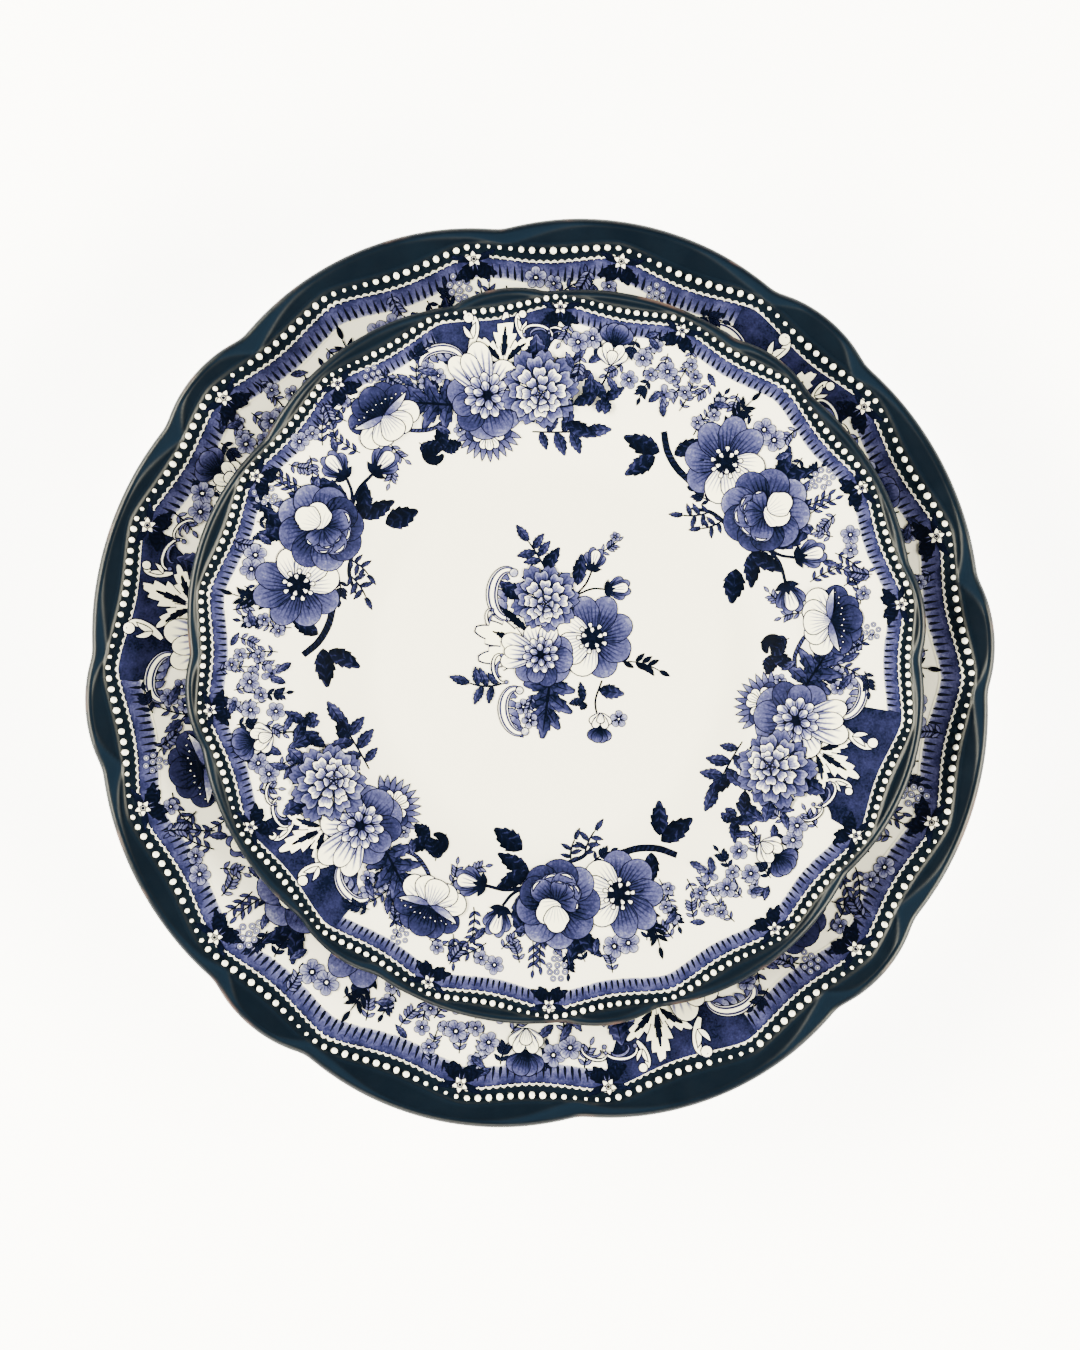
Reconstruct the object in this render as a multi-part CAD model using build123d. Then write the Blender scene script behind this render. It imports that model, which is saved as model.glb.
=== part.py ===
from build123d import *

import math
import os

# A scalloped china dinner plate with the smaller dessert plate of the same service standing in its well.
# Millimetres. +Z is up, and the origin is on the table under the middle of the dinner plate.
# Each plate is one fired piece. The raised pearls round its rim are drops of enamel fused on to it.

# ---------------------------------------------------------------- driving dimensions
DINNER = dict(
    rim_radius=134.4,     # mean radius of the scalloped edge
    rim_height=25.0,      # top of the rim above the plate's own foot
    rim_slope_deg=13.5,   # rise of the rim, outwards
    well_radius=84.0,     # flat floor that the dessert plate's foot stands on
    shoulder_radius=101.0,  # where the wall of the well meets the rim
    floor_height=7.0,     # top of the floor above the foot
    wall=4.2,             # thickness of the fired body
    foot_radius=77.0,     # middle of the foot ring
    foot_width=4.5,
    blend=22.0,           # radius that eases the well into its wall and the wall into the rim
    lip=1.5,              # round on the two corners of the edge
    junction=9.0,         # radius that eases one lobe into the next
    pearl_ring=126.6,     # mean radius of the row of pearls
    pearl_pitch=3.2,      # distance from one pearl to the next
    wave_deg=39.4,        # angle of one crest of the row of pearls
    turn_deg=5.0,         # how far the edge's first cusp is turned past +Y
    place=(0.0, 0.0),
    base=0.0,
)
DESSERT = dict(
    rim_radius=109.0,
    rim_height=22.5,
    rim_slope_deg=15.0,
    well_radius=58.0,
    shoulder_radius=74.0,
    floor_height=6.0,
    wall=3.7,
    foot_radius=54.0,
    foot_width=4.0,
    blend=24.0,
    lip=1.3,
    junction=7.5,
    pearl_ring=105.0,
    pearl_pitch=2.7,
    wave_deg=89.2,
    turn_deg=53.0,
    place=(4.6, 4.8),     # it was put down a little off the middle
    base=DINNER["floor_height"],
)

# The edge has two cusps, opposite each other. From one cusp to the next it runs through these lobes:
# the angle that each spans, and how far its crown stands outside the mean circle, as a part of the radius.
LOBES = [
    (36.7, 0.0136), (14.9, 0.0078), (31.0, 0.0020), (14.8, 0.0066),
    (31.0, 0.0020), (14.9, 0.0078), (36.7, 0.0136),
]
CUSP_DEPTH = -0.0172      # the two cusps, against the mean circle
NOTCH_DEPTH = -0.0112     # the other junctions between lobes
LONGEST = 1.03            # the section reaches past the longest lobe, and the outline trims it
FOOT_FLARE = 1.5          # the foot ring's root is this much wider, outside
FOOT_DRAFT = 1.0          # and this much, inside
UNDER_SHIFT = 1 / 3       # the underside's bend lies further out than the upper one, by this part of the wall
UNDER_BLEND = 1.2         # radius that eases the underside's bends
PEARL_WAVES = 18          # the row of pearls swings in and out as many times round the plate
PEARL_SWING = 0.0105      # by this part of the rim's radius to each side
PEARL_RADII = (0.65, 1.05)  # smallest beside the crests, largest in the hollows
PEARL_SHIFT_DEG = 3.0     # the smallest pearls come this much before a crest
PEARL_SINK = 0.12         # how deep a pearl's flat base is fused into the glaze


def polar(radius, angle_deg):
    """A point of the plane at a radius and an angle."""
    angle = math.radians(angle_deg)
    return radius * math.cos(angle), radius * math.sin(angle)


def lobe_ends():
    """Every lobe round the edge: its first angle, its last angle, and its radius at first, crown and last."""
    ends = []
    angle = 90.0
    for half in range(2):
        for number, (span, crown) in enumerate(LOBES):
            first = CUSP_DEPTH if number == 0 else NOTCH_DEPTH
            last = CUSP_DEPTH if number == len(LOBES) - 1 else NOTCH_DEPTH
            ends.append((angle, angle + span, 1 + first, 1 + crown, 1 + last))
            angle += span
    return ends


def edge_face(plate):
    """The plate's outline seen from above: one arc for each lobe, eased where two lobes meet."""
    arcs = []
    for first, last, r_first, r_crown, r_last in lobe_ends():
        radius = plate["rim_radius"]
        arcs.append(ThreePointArc(
            polar(radius * r_first, first + plate["turn_deg"]),
            polar(radius * r_crown, (first + last) / 2 + plate["turn_deg"]),
            polar(radius * r_last, last + plate["turn_deg"]),
        ))
    face = make_face(arcs)
    return fillet(face.vertices(), plate["junction"])


def rim_line(plate, radius):
    """Height of the rim's upper face at a radius, above the plate's own foot."""
    drop = (plate["rim_radius"] - radius) * math.tan(math.radians(plate["rim_slope_deg"]))
    return plate["rim_height"] - drop


def section(plate):
    """Half of the plate's section, from the middle out past the longest lobe, with its foot ring."""
    beyond = plate["rim_radius"] * LONGEST
    shoulder = plate["shoulder_radius"]
    wall = plate["wall"]
    floor = plate["floor_height"]
    foot_in = plate["foot_radius"] - plate["foot_width"] / 2
    foot_out = plate["foot_radius"] + plate["foot_width"] / 2
    upper = FilletPolyline(
        (0, floor), (plate["well_radius"], floor),
        (shoulder, rim_line(plate, shoulder)), (beyond, rim_line(plate, beyond)),
        radius=plate["blend"],
    )
    under_shoulder = shoulder + wall * UNDER_SHIFT
    under = FilletPolyline(
        (beyond, rim_line(plate, beyond) - wall),
        (under_shoulder, rim_line(plate, under_shoulder) - wall),
        (foot_out + FOOT_FLARE, floor - wall), (foot_out, 0),
        radius=UNDER_BLEND,
    )
    foot = Polyline((foot_out, 0), (foot_in, 0), (foot_in - FOOT_DRAFT, floor - wall), (0, floor - wall))
    sides = Line((beyond, rim_line(plate, beyond)), (beyond, rim_line(plate, beyond) - wall))
    middle = Line((0, floor - wall), (0, floor))
    return make_face([*upper.edges(), sides, *under.edges(), *foot.edges(), middle])


def plate_solid(plate):
    """One plate: its section spun round, trimmed to the scalloped outline, with a rounded lip."""
    disc = revolve(Plane.XZ * section(plate), Axis.Z, 360)
    trimmed = disc & extrude(edge_face(plate), 2 * plate["rim_height"])
    innermost = plate["rim_radius"] * (1 + CUSP_DEPTH) - plate["lip"]
    lip = []
    for edge in trimmed.edges():
        middle = edge.position_at(0.5)
        runs_round = abs(edge.tangent_at(0.5).Z) < 0.5
        if math.hypot(middle.X, middle.Y) > innermost and runs_round:
            lip.append(edge)
    return fillet(lip, plate["lip"])


def pearls(plate):
    """The waving ring of enamel pearls: half spheres on the rim, as many as fit at the given pitch."""
    count = round(2 * math.pi * plate["pearl_ring"] / plate["pearl_pitch"])
    slope = math.radians(plate["rim_slope_deg"])
    drops = []
    for number in range(count):
        around = math.radians(360 / count * number)
        from_crest = around - math.radians(plate["wave_deg"])
        wave = math.cos(PEARL_WAVES * from_crest)
        radius = plate["pearl_ring"] + wave * PEARL_SWING * plate["rim_radius"]
        hollow = abs(math.sin(PEARL_WAVES / 2 * (from_crest + math.radians(PEARL_SHIFT_DEG))))
        size = PEARL_RADII[0] + (PEARL_RADII[1] - PEARL_RADII[0]) * hollow
        out = Vector(math.cos(around), math.sin(around), 0)
        normal = Vector(0, 0, 1) * math.cos(slope) - out * math.sin(slope)
        spot = out * radius + Vector(0, 0, rim_line(plate, radius)) - normal * PEARL_SINK
        seat = Plane(origin=spot, x_dir=out.cross(normal), z_dir=normal)
        drops.append(seat * Sphere(size, arc_size1=0, align=(Align.CENTER, Align.CENTER, Align.MIN)))
    return Compound(children=drops)


def put_down(shape, plate):
    """Moves a shape from its plate's own frame to where the plate stands."""
    return Pos(*plate["place"], plate["base"]) * shape


os.makedirs("parts", exist_ok=True)
for name, sizes in (("dinner_plate", DINNER), ("dessert_plate", DESSERT)):
    export_step(put_down(plate_solid(sizes), sizes), f"parts/{name}.step")
    export_step(put_down(pearls(sizes), sizes), f"parts/{name}_pearls.step")
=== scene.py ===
"""A scalloped china dinner plate with its dessert plate in the well, and the blue flower print on both."""
import math
from contextlib import contextmanager

import bpy
import numpy as np
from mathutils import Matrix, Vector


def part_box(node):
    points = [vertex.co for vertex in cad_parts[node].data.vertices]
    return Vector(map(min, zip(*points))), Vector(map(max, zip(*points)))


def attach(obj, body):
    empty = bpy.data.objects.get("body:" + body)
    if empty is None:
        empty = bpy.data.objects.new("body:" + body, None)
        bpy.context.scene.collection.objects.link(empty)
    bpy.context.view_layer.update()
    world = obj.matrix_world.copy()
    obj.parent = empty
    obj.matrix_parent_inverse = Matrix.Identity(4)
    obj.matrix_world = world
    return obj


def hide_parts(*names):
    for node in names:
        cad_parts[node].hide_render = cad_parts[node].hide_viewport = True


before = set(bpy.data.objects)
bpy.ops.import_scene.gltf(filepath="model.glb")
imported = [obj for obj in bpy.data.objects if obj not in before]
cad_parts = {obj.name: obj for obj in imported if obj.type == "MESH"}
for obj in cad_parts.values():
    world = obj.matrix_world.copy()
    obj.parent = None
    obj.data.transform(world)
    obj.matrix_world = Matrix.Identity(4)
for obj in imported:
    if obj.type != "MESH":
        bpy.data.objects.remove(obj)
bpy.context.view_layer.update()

bl_info = {
    "name": "Scalloped China Plates",
    "version": (1, 0, 0),
    "blender": (4, 5, 0),
    "location": "3D View > Sidebar > China",
    "description": "Builds a dinner plate and its dessert plate, with their print, pearls and studio",
    "category": "Object",
}

MM = 0.001
FULL_TURN = 2 * math.pi

# The scalloped edge, from one cusp to the next and then once more: the angle that each lobe spans, and how
# far its crown stands outside the mean circle, as a part of the radius.
LOBES = (
    (36.7, 0.0136), (14.9, 0.0078), (31.0, 0.0020), (14.8, 0.0066),
    (31.0, 0.0020), (14.9, 0.0078), (36.7, 0.0136),
)
CUSP_DEPTH = -0.0172
NOTCH_DEPTH = -0.0112
WAVES = 18                # how often the row of pearls and the white line swing in and out round the plate
PEARL_SWING = 0.0105      # to each side, as a part of the rim's radius
LINE_SWING = 0.0122
LINE_GAP = 0.0224         # from the pearls to the white line, as a part of the rim's radius

# The fine relief of the glaze, in millimetres. Each lobe has an arch that runs from beside the pearls, at the
# lobe's ends, out to the edge at its crown. The glaze steps up at the arch.
ARCH_FOOT = 1.0           # from the pearls out to the arch, at a lobe's ends
ARCH_INSET = 1.6          # from the edge in to the arch, at a lobe's crown
ARCH_BEND = 1.6           # how sharply the arch turns outwards
ARCH_STEP = 0.34
ARCH_RIDGE = 0.14
BANK_RISE = 0.24          # the bank outside the pearls
BANK_PLACE = 2.0
CHANNEL_DEPTH = 0.25      # the channel that the pearls stand in
PRINT_RIDGE = 0.16        # the low ridge under the white line

# The rings of a plate's mesh, in millimetres.
FLAT_INSET = 12.0         # the well's wide rings end this far inside its radius
PRINT_BAND = 0.09         # the rings are closer from here to the pearls, as a part of the rim's radius
FOOT_ROOT = 3.6           # from the middle of the foot ring out to where it leaves the underside
FOOT_HOLLOW = 3.8         # and in to the recess
DARK_UNDER = 0.12         # the dark glaze runs over the lip by this part of the underside

# The pearls. Lengths are parts of the pitch.
PEARL_WIDTH = 0.57
PEARL_LENGTH = 1.08       # as a part of the width
PEARL_HEIGHT = 0.85
SMALLEST_PEARL = 0.58     # beside the crests, as a part of the largest
SMALLEST_BEFORE = 3.0     # degrees before a crest
PEARL_LIFT = 0.12         # of a pearl's middle above the glaze, in millimetres
PEARL_SEED = 11

# The print.
THIRD = 120               # degrees of one third of the border
CARTOUCHE = 21.6          # degrees of the dark ground that covers the ribbon
STARS = (0.0, 39.4, 59.7, 99.6)       # degrees from the start of a third
STAR_PLACE = {"dinner_plate": 0.925, "dessert_plate": 0.945}    # as a part of the rim's radius
DRAWN_RIM = 109.0         # the flowers are drawn for a plate of this radius, in millimetres
FLOWER_SIZE = 1.25
FLOWER_GROWTH = 0.6       # how much a larger plate enlarges them: 1 is in proportion, 0 not at all
BOUQUET_SIZE = 1.3
RIBBON_LEVEL = 4          # the border lies on the ribbon and its teeth as if they were this many shapes
RIBBON_TEETH = 350        # round a whole plate
TOOTH_PLACE = 0.62        # of a tooth's middle across the ribbon
TOOTH_WIDTH = 0.0095      # as a part of the rim's radius
TOOTH_LENGTH = 0.70       # as a part of the ribbon's width
TOOTH_LEVEL = 3.5         # above the glaze, as so many shapes
TOOTH_SEED = 31
LINE_PITCH = 2.2          # millimetres from one notch of the white line to the next
LINE_NOTCH = 0.80         # how deep they are

# The studio, in metres and watts. The lamps stand low, so that the glossy glaze doesn't mirror them upwards.
FLOOR_HALF = 12.0
LAMPS = (
    ("window", (-1.72, 0.30, 0.80), (2.0, 0.45), 340.0),
    ("bounce", (1.78, -0.50, 0.75), (1.8, 0.45), 330.0),
    ("back", (0.35, 1.95, 0.80), (1.2, 0.4), 15.0),
    ("front", (-0.5, -1.95, 0.75), (1.8, 0.4), 85.0),
)
LAMP_COLOUR = (1.0, 0.94, 0.70)
SKY_COLOUR = (0.95, 0.97, 1.0, 1.0)
SKY_STRENGTH = 0.12
FLOOR_GLOW = 6.0          # keeps the floor near white
SENSOR = 36.0             # millimetres
VIEW_TALL = 1.25          # the view's height, as a part of its width


def polar(radius, angle):
    """The x and y of a radius and an angle."""
    return radius * np.cos(angle), radius * np.sin(angle)


def ridge(distance, high, wide):
    """The height of a soft ridge at a distance from its crest."""
    return high * np.exp(-(distance / wide) ** 2)


def edge_table(samples=3600):
    """For every tenth of a degree from a cusp: the edge's radius as a part of the mean, and how near it is
    to a lobe's crown."""
    angles = np.arange(samples) * 360.0 / samples
    radius, crown = np.zeros(samples), np.zeros(samples)
    start = 0.0
    for _half in range(2):
        for number, (span, swell) in enumerate(LOBES):
            first = CUSP_DEPTH if number == 0 else NOTCH_DEPTH
            last = CUSP_DEPTH if number == len(LOBES) - 1 else NOTCH_DEPTH
            inside = (angles >= start) & (angles < start + span)
            along = (angles[inside] - start) / span
            bulge = 4 * along * (1 - along)
            radius[inside] = 1 + first + (last - first) * along + (swell - (first + last) / 2) * bulge
            crown[inside] = bulge
            start += span
    reach = samples // 200    # a junction of two lobes is eased over so many entries to each side
    ease = np.hanning(2 * reach + 1)
    ease /= ease.sum()
    wrapped = np.concatenate((radius[-reach:], radius, radius[:reach]))
    return np.radians(angles), np.convolve(wrapped, ease, "valid"), crown


EDGE_ANGLES, EDGE_RADIUS, EDGE_CROWN = edge_table()


def mean_radius(low, high, turn):
    """The edge's mean radius, from a plate's box and how far the plate is turned, in degrees."""
    angle = EDGE_ANGLES + math.radians(turn)
    spans = np.ptp(EDGE_RADIUS * np.sin(angle)) + np.ptp(EDGE_RADIUS * np.cos(angle))
    return (high.x - low.x + high.y - low.y) / spans


# ------------------------------------------------------------------ sizes and colours a user may change

def length(label, description, default):
    """A length property, in metres."""
    return bpy.props.FloatProperty(
        name=label, description=description, default=default, unit="LENGTH", precision=5)


def bearing(label, description, degrees):
    """An angle property, its default given in degrees."""
    return bpy.props.FloatProperty(
        name=label, description=description, default=math.radians(degrees), subtype="ANGLE")


def colour(label, description, default):
    """A colour property."""
    return bpy.props.FloatVectorProperty(
        name=label, description=description, default=default, subtype="COLOR", size=3, min=0.0, max=1.0)


def plate_fields(node, *, slope, well, shoulder, floor, wall, foot, blend, pearls, pitch, turn, ribbon,
                 first_star, print_shift):
    """The properties of one plate. Its radius, height and place come from its node in the frame."""
    low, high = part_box(node)
    return {
        "rim_radius": length("Rim radius", "Mean radius of the scalloped edge", mean_radius(low, high, turn)),
        "rim_height": length("Rim height", "Top of the rim above the plate's foot", high.z - low.z),
        "base": length("Base", "Height of the foot above the table", low.z),
        "middle_x": length("Middle X", "Where the plate's middle is", (low.x + high.x) / 2),
        "middle_y": length("Middle Y", "Where the plate's middle is", (low.y + high.y) / 2),
        "rim_slope": bearing("Rim slope", "Rise of the rim, outwards", slope),
        "well_radius": length("Well radius", "Radius of the flat floor", well),
        "shoulder_radius": length("Shoulder radius", "Where the wall of the well meets the rim", shoulder),
        "floor_height": length("Floor height", "Top of the floor above the foot", floor),
        "wall": length("Wall", "Thickness of the fired body", wall),
        "foot_radius": length("Foot radius", "Middle of the foot ring", foot),
        "blend": length("Blend", "Radius that eases the floor into the wall and the rim", blend),
        "pearl_ring": length("Pearl ring", "Mean radius of the row of pearls", pearls),
        "pearl_pitch": length("Pearl pitch", "Distance from one pearl to the next", pitch),
        "turn": bearing("Turn", "How far the plate is turned on the table", turn),
        "ribbon": length("Ribbon", "Width of the printed ribbon inside the pearls", ribbon),
        "first_star": bearing("First star", "Angle at which the first third of the print begins", first_star),
        "print_x": length("Print X", "How far off the middle the border's flowers were laid", print_shift[0]),
        "print_y": length("Print Y", "How far off the middle the border's flowers were laid", print_shift[1]),
    }


class DinnerSizes(bpy.types.PropertyGroup):
    """The dinner plate's sizes."""
    __annotations__ = plate_fields(
        "dinner_plate", slope=13.5, well=0.084, shoulder=0.101, floor=0.007, wall=0.0042, foot=0.077,
        blend=0.022, pearls=0.1266, pitch=0.0032, turn=5.0, ribbon=0.0064, first_star=39.4,
        print_shift=(0.0, 0.0))


class DessertSizes(bpy.types.PropertyGroup):
    """The dessert plate's sizes."""
    __annotations__ = plate_fields(
        "dessert_plate", slope=15.0, well=0.058, shoulder=0.074, floor=0.006, wall=0.0037, foot=0.054,
        blend=0.024, pearls=0.1050, pitch=0.0027, turn=53.0, ribbon=0.0046, first_star=89.2,
        print_shift=(-0.0022, 0.0028))


class ChinaColours(bpy.types.PropertyGroup):
    """Glazes and inks."""
    glaze: colour("Glaze", "Cream white glaze", (0.90, 0.85, 0.55))
    rim: colour("Rim glaze", "Dark teal glaze on the rim", (0.0012, 0.0034, 0.0078))
    rim_deep: colour("Rim glaze, thick", "The rim's glaze where it pools", (0.0004, 0.0016, 0.0044))
    worn: colour("Worn edge", "Fired clay where the glaze breaks over the edge", (0.10, 0.055, 0.045))
    pearl: colour("Pearl", "White enamel of the pearls", (0.88, 0.87, 0.83))
    ink_faint: colour("Faint ink", "The print's lightest wash", (0.19, 0.20, 0.34))
    ink_pale: colour("Pale ink", "The print's periwinkle blue", (0.046, 0.049, 0.140))
    ink_mid: colour("Middle ink", "The print's violet blue", (0.0110, 0.0125, 0.050))
    ink_deep: colour("Deep ink", "The print's full blue", (0.0013, 0.0024, 0.0105))
    ink_black: colour("Black ink", "The print where it is thickest", (0.0004, 0.0010, 0.0036))
    foot: colour("Bare foot", "Unglazed clay of the foot ring", (0.62, 0.55, 0.44))
    reserve: colour("Reserve", "Glaze left white inside the print", (0.93, 0.91, 0.74))
    floor: colour("Floor", "The studio floor", (0.93, 0.93, 0.93))


class StudioSizes(bpy.types.PropertyGroup):
    """The camera and the lights."""
    camera_height: length("Camera height", "Height of the camera above the table", 0.95)
    view_width: length("View width", "Width of what the camera sees at the rim's height", 0.3194)
    aim_y: length("Aim Y", "How far the view's middle lies towards the viewer's side", -0.0006)


# ------------------------------------------------------------------ the plates' shape

def smooth(low, high, x):
    """0 below low, 1 above high, and an S between them."""
    t = np.clip((np.asarray(x, float) - low) / (high - low), 0, 1)
    return t * t * (3 - 2 * t)


class Plate:
    """One plate's shape, in millimetres about its own middle and foot."""

    def __init__(self, name, sizes):
        self.name = name
        self.rim = sizes.rim_radius / MM
        self.rim_height = sizes.rim_height / MM
        self.middle = np.array((sizes.middle_x, sizes.middle_y, sizes.base)) / MM
        self.slope = math.tan(sizes.rim_slope)
        self.well = sizes.well_radius / MM
        self.shoulder = sizes.shoulder_radius / MM
        self.floor = sizes.floor_height / MM
        self.wall = sizes.wall / MM
        self.foot = sizes.foot_radius / MM
        self.pearl_ring = sizes.pearl_ring / MM
        self.pearl_pitch = sizes.pearl_pitch / MM
        self.turn = sizes.turn
        self.ribbon = sizes.ribbon / MM
        self.first_star = math.degrees(sizes.first_star)
        self.print_shift = (sizes.print_x / MM, sizes.print_y / MM)
        self.make_profile(sizes.blend / MM)

    def make_profile(self, blend):
        """Tables of the upper face's height at a radius: floor, wall of the well and rim, eased by arcs."""
        shoulder_height = self.rim_height - (self.rim - self.shoulder) * self.slope
        steep = (shoulder_height - self.floor) / (self.shoulder - self.well)
        at_well = blend * math.tan(math.atan(steep) / 2)
        at_shoulder = blend * math.tan((math.atan(steep) - math.atan(self.slope)) / 2)
        self.profile_r = np.linspace(0, self.rim * 1.05, 2000)
        bends = (self.well - at_well, self.well + at_well,
                 self.shoulder - at_shoulder, self.shoulder + at_shoulder)
        slopes = np.interp(self.profile_r, bends, (0, steep, steep, self.slope))
        step = self.profile_r[1] - self.profile_r[0]
        self.profile_z = self.floor + np.concatenate(((0,), np.cumsum((slopes[1:] + slopes[:-1]) / 2 * step)))

    def around(self, table, angle):
        """A table of the edge, read at plate angles in radians."""
        from_cusp = np.mod(np.asarray(angle) - self.turn - math.pi / 2, FULL_TURN)
        return np.interp(from_cusp, EDGE_ANGLES, table, period=FULL_TURN)

    def edge(self, angle):
        """Radius of the scalloped edge."""
        return self.rim * self.around(EDGE_RADIUS, angle)

    def wave(self, angle):
        """1 on the crests of the row of pearls, where the stars are, and -1 in its hollows."""
        from_crest = np.asarray(angle) - math.radians(self.first_star)
        return 1 - 2 * np.abs(np.sin(WAVES / 2 * from_crest)) ** 1.4

    def pearls(self, angle):
        """Radius of the row of pearls."""
        return self.pearl_ring + PEARL_SWING * self.rim * self.wave(angle)

    def line(self, angle):
        """Radius of the white line inside the pearls, where the dark rim ends."""
        return self.pearl_ring + (LINE_SWING * self.wave(angle) - LINE_GAP) * self.rim

    def top(self, x, y):
        """Height of the glazed upper face."""
        r = np.hypot(x, y)
        angle = np.arctan2(y, x)
        outwards = r - self.pearls(angle)
        arch_crown = self.edge(angle) - ARCH_INSET
        arch_foot = self.pearls(angle) + ARCH_FOOT
        along = 1 - self.around(EDGE_CROWN, angle)
        past_arch = r - (arch_crown - (arch_crown - arch_foot) * along ** ARCH_BEND)
        arch = ARCH_STEP * smooth(-1.2, 0.6, past_arch) + ridge(past_arch - 0.2, ARCH_RIDGE, 0.9)
        bank = ridge(outwards - BANK_PLACE, BANK_RISE, 0.5) * smooth(0.4, 2.2, -past_arch)
        channel = -CHANNEL_DEPTH * smooth(1.5, 0.6, np.abs(outwards))
        under_line = ridge(r - self.line(angle), PRINT_RIDGE, 0.9)
        return np.interp(r, self.profile_r, self.profile_z) + arch + bank + channel + under_line

    def under(self, r):
        """Height of the under face outside the foot ring."""
        return np.interp(r, self.profile_r, self.profile_z) - self.wall

    def steepness(self, x, y):
        """The upper face's unit normals, without the fine relief."""
        r = np.maximum(np.hypot(x, y), 1e-6)
        rise = (np.interp(r + 0.5, self.profile_r, self.profile_z)
                - np.interp(r - 0.5, self.profile_r, self.profile_z))
        normal = np.stack((-x / r * rise, -y / r * rise, np.ones_like(r)), axis=-1)
        return normal / np.linalg.norm(normal, axis=-1, keepdims=True)


def plates(context):
    """Both plates, from the scene's sizes."""
    scene = context.scene
    return Plate("dinner_plate", scene.china_dinner), Plate("dessert_plate", scene.china_dessert)


# ------------------------------------------------------------------ meshes

def new_mesh(name, points, faces, place, materials, which=None):
    """A smooth mesh piece from points in millimetres about a plate's middle."""
    mesh = bpy.data.meshes.new(name)
    mesh.from_pydata(((np.asarray(points) + place) * MM).tolist(), [], faces)
    for material in materials:
        mesh.materials.append(material)
    if which is not None:
        mesh.polygons.foreach_set("material_index", which)
    mesh.polygons.foreach_set("use_smooth", [True] * len(mesh.polygons))
    mesh.update()
    piece = bpy.data.objects.new(name, mesh)
    bpy.context.scene.collection.objects.link(piece)
    return piece


def evaluated_mesh(piece, name):
    """The piece with its modifiers turned into a plain mesh, in place of the live one."""
    graph = bpy.context.evaluated_depsgraph_get()
    mesh = bpy.data.meshes.new_from_object(piece.evaluated_get(graph))
    bpy.data.objects.remove(piece)
    mesh.name = name
    done = bpy.data.objects.new(name, mesh)
    bpy.context.scene.collection.objects.link(done)
    return done


def finish_piece(piece, body, replaces=None):
    """Gives a piece its body and the node it stands for."""
    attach(piece, body)
    if replaces:
        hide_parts(replaces)


GLAZED, DARK, BARE = 0, 1, 2


def plate_rings(plate, angle):
    """The rings of one closed plate from the middle of its floor, over the lip, to the middle of its
    underside. Each ring is its radii, its heights (None on the upper face, which has its own) and the finish
    of the face that follows it."""
    rings = []
    line = plate.line(angle)
    edge = plate.edge(angle)
    lip = plate.wall / 2
    flat = plate.well - FLAT_INSET
    beside = plate.pearl_ring - PRINT_BAND * plate.rim
    for radius in np.linspace(0, flat, 6)[1:-1].tolist() + np.linspace(flat, beside, 27).tolist():
        rings.append((radius * np.ones_like(angle), None, GLAZED))
    for share in np.linspace(0, 1, 24)[1:-1]:
        rings.append((beside + (line - beside) * share, None, GLAZED))
    for share in np.linspace(0, 1, 34):
        radius = line + (edge - lip - line) * share
        rings.append((radius, None, DARK))
    shelf = plate.top(*polar(edge - lip, angle))
    for bend in np.linspace(0, math.pi, 11)[1:]:
        radius = edge - lip + lip * math.sin(bend)
        rings.append((radius, shelf - lip * (1 - math.cos(bend)), DARK))
    rest = plate.under(edge - lip)
    drop = shelf - 2 * lip - rest
    for share in np.linspace(0, 1, 18)[1:]:
        radius = (edge - lip) * (1 - share) + (plate.foot + FOOT_ROOT) * share
        height = plate.under(radius) + drop * (1 - smooth(0, 0.3, share))
        rings.append((radius, height, DARK if share < DARK_UNDER else GLAZED))
    ones = np.ones_like(angle)
    recess = plate.floor - plate.wall
    for radius, height, finish in (
            (2.9, recess * 0.55, GLAZED), (2.4, 0.35, BARE), (2.0, 0.06, BARE), (1.5, 0.0, BARE),
            (-1.5, 0.0, BARE), (-2.0, 0.06, BARE), (-2.4, 0.35, GLAZED), (-2.9, recess * 0.6, GLAZED),
            (-FOOT_HOLLOW, recess, GLAZED)):
        rings.append(((plate.foot + radius) * ones, height * ones, finish))
    for share in np.linspace(1, 0, 14)[1:-1]:
        rings.append(((plate.foot - FOOT_HOLLOW) * share * ones, recess * ones, GLAZED))
    return rings


def plate_mesh(plate, materials, steps=720):
    """The fired and glazed plate as one closed mesh."""
    angle = np.arange(steps) * FULL_TURN / steps
    rings = plate_rings(plate, angle)
    points = [np.array(((0.0, 0.0, plate.floor),))]
    for radius, height, _finish in rings:
        x, y = polar(radius, angle)
        z = plate.top(x, y) if height is None else height
        points.append(np.column_stack((x, y, z)))
    points.append(np.array(((0.0, 0.0, plate.floor - plate.wall),)))
    here = np.arange(steps)
    after = (here + 1) % steps
    faces = [(0, 1 + a, 1 + b) for a, b in zip(here.tolist(), after.tolist())]
    which = [GLAZED] * steps
    for number in range(len(rings) - 1):
        first = 1 + number * steps
        quads = np.column_stack((first + here, first + steps + here, first + steps + after, first + after))
        faces += [tuple(q) for q in quads.tolist()]
        which += [rings[number][2]] * steps
    last = 1 + (len(rings) - 1) * steps
    pole = last + steps
    faces += [(pole, last + b, last + a) for a, b in zip(here.tolist(), after.tolist())]
    which += [GLAZED] * steps
    return new_mesh(plate.name + "_body", np.concatenate(points), faces, plate.middle, materials, which)


# ------------------------------------------------------------------ shader maths

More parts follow.
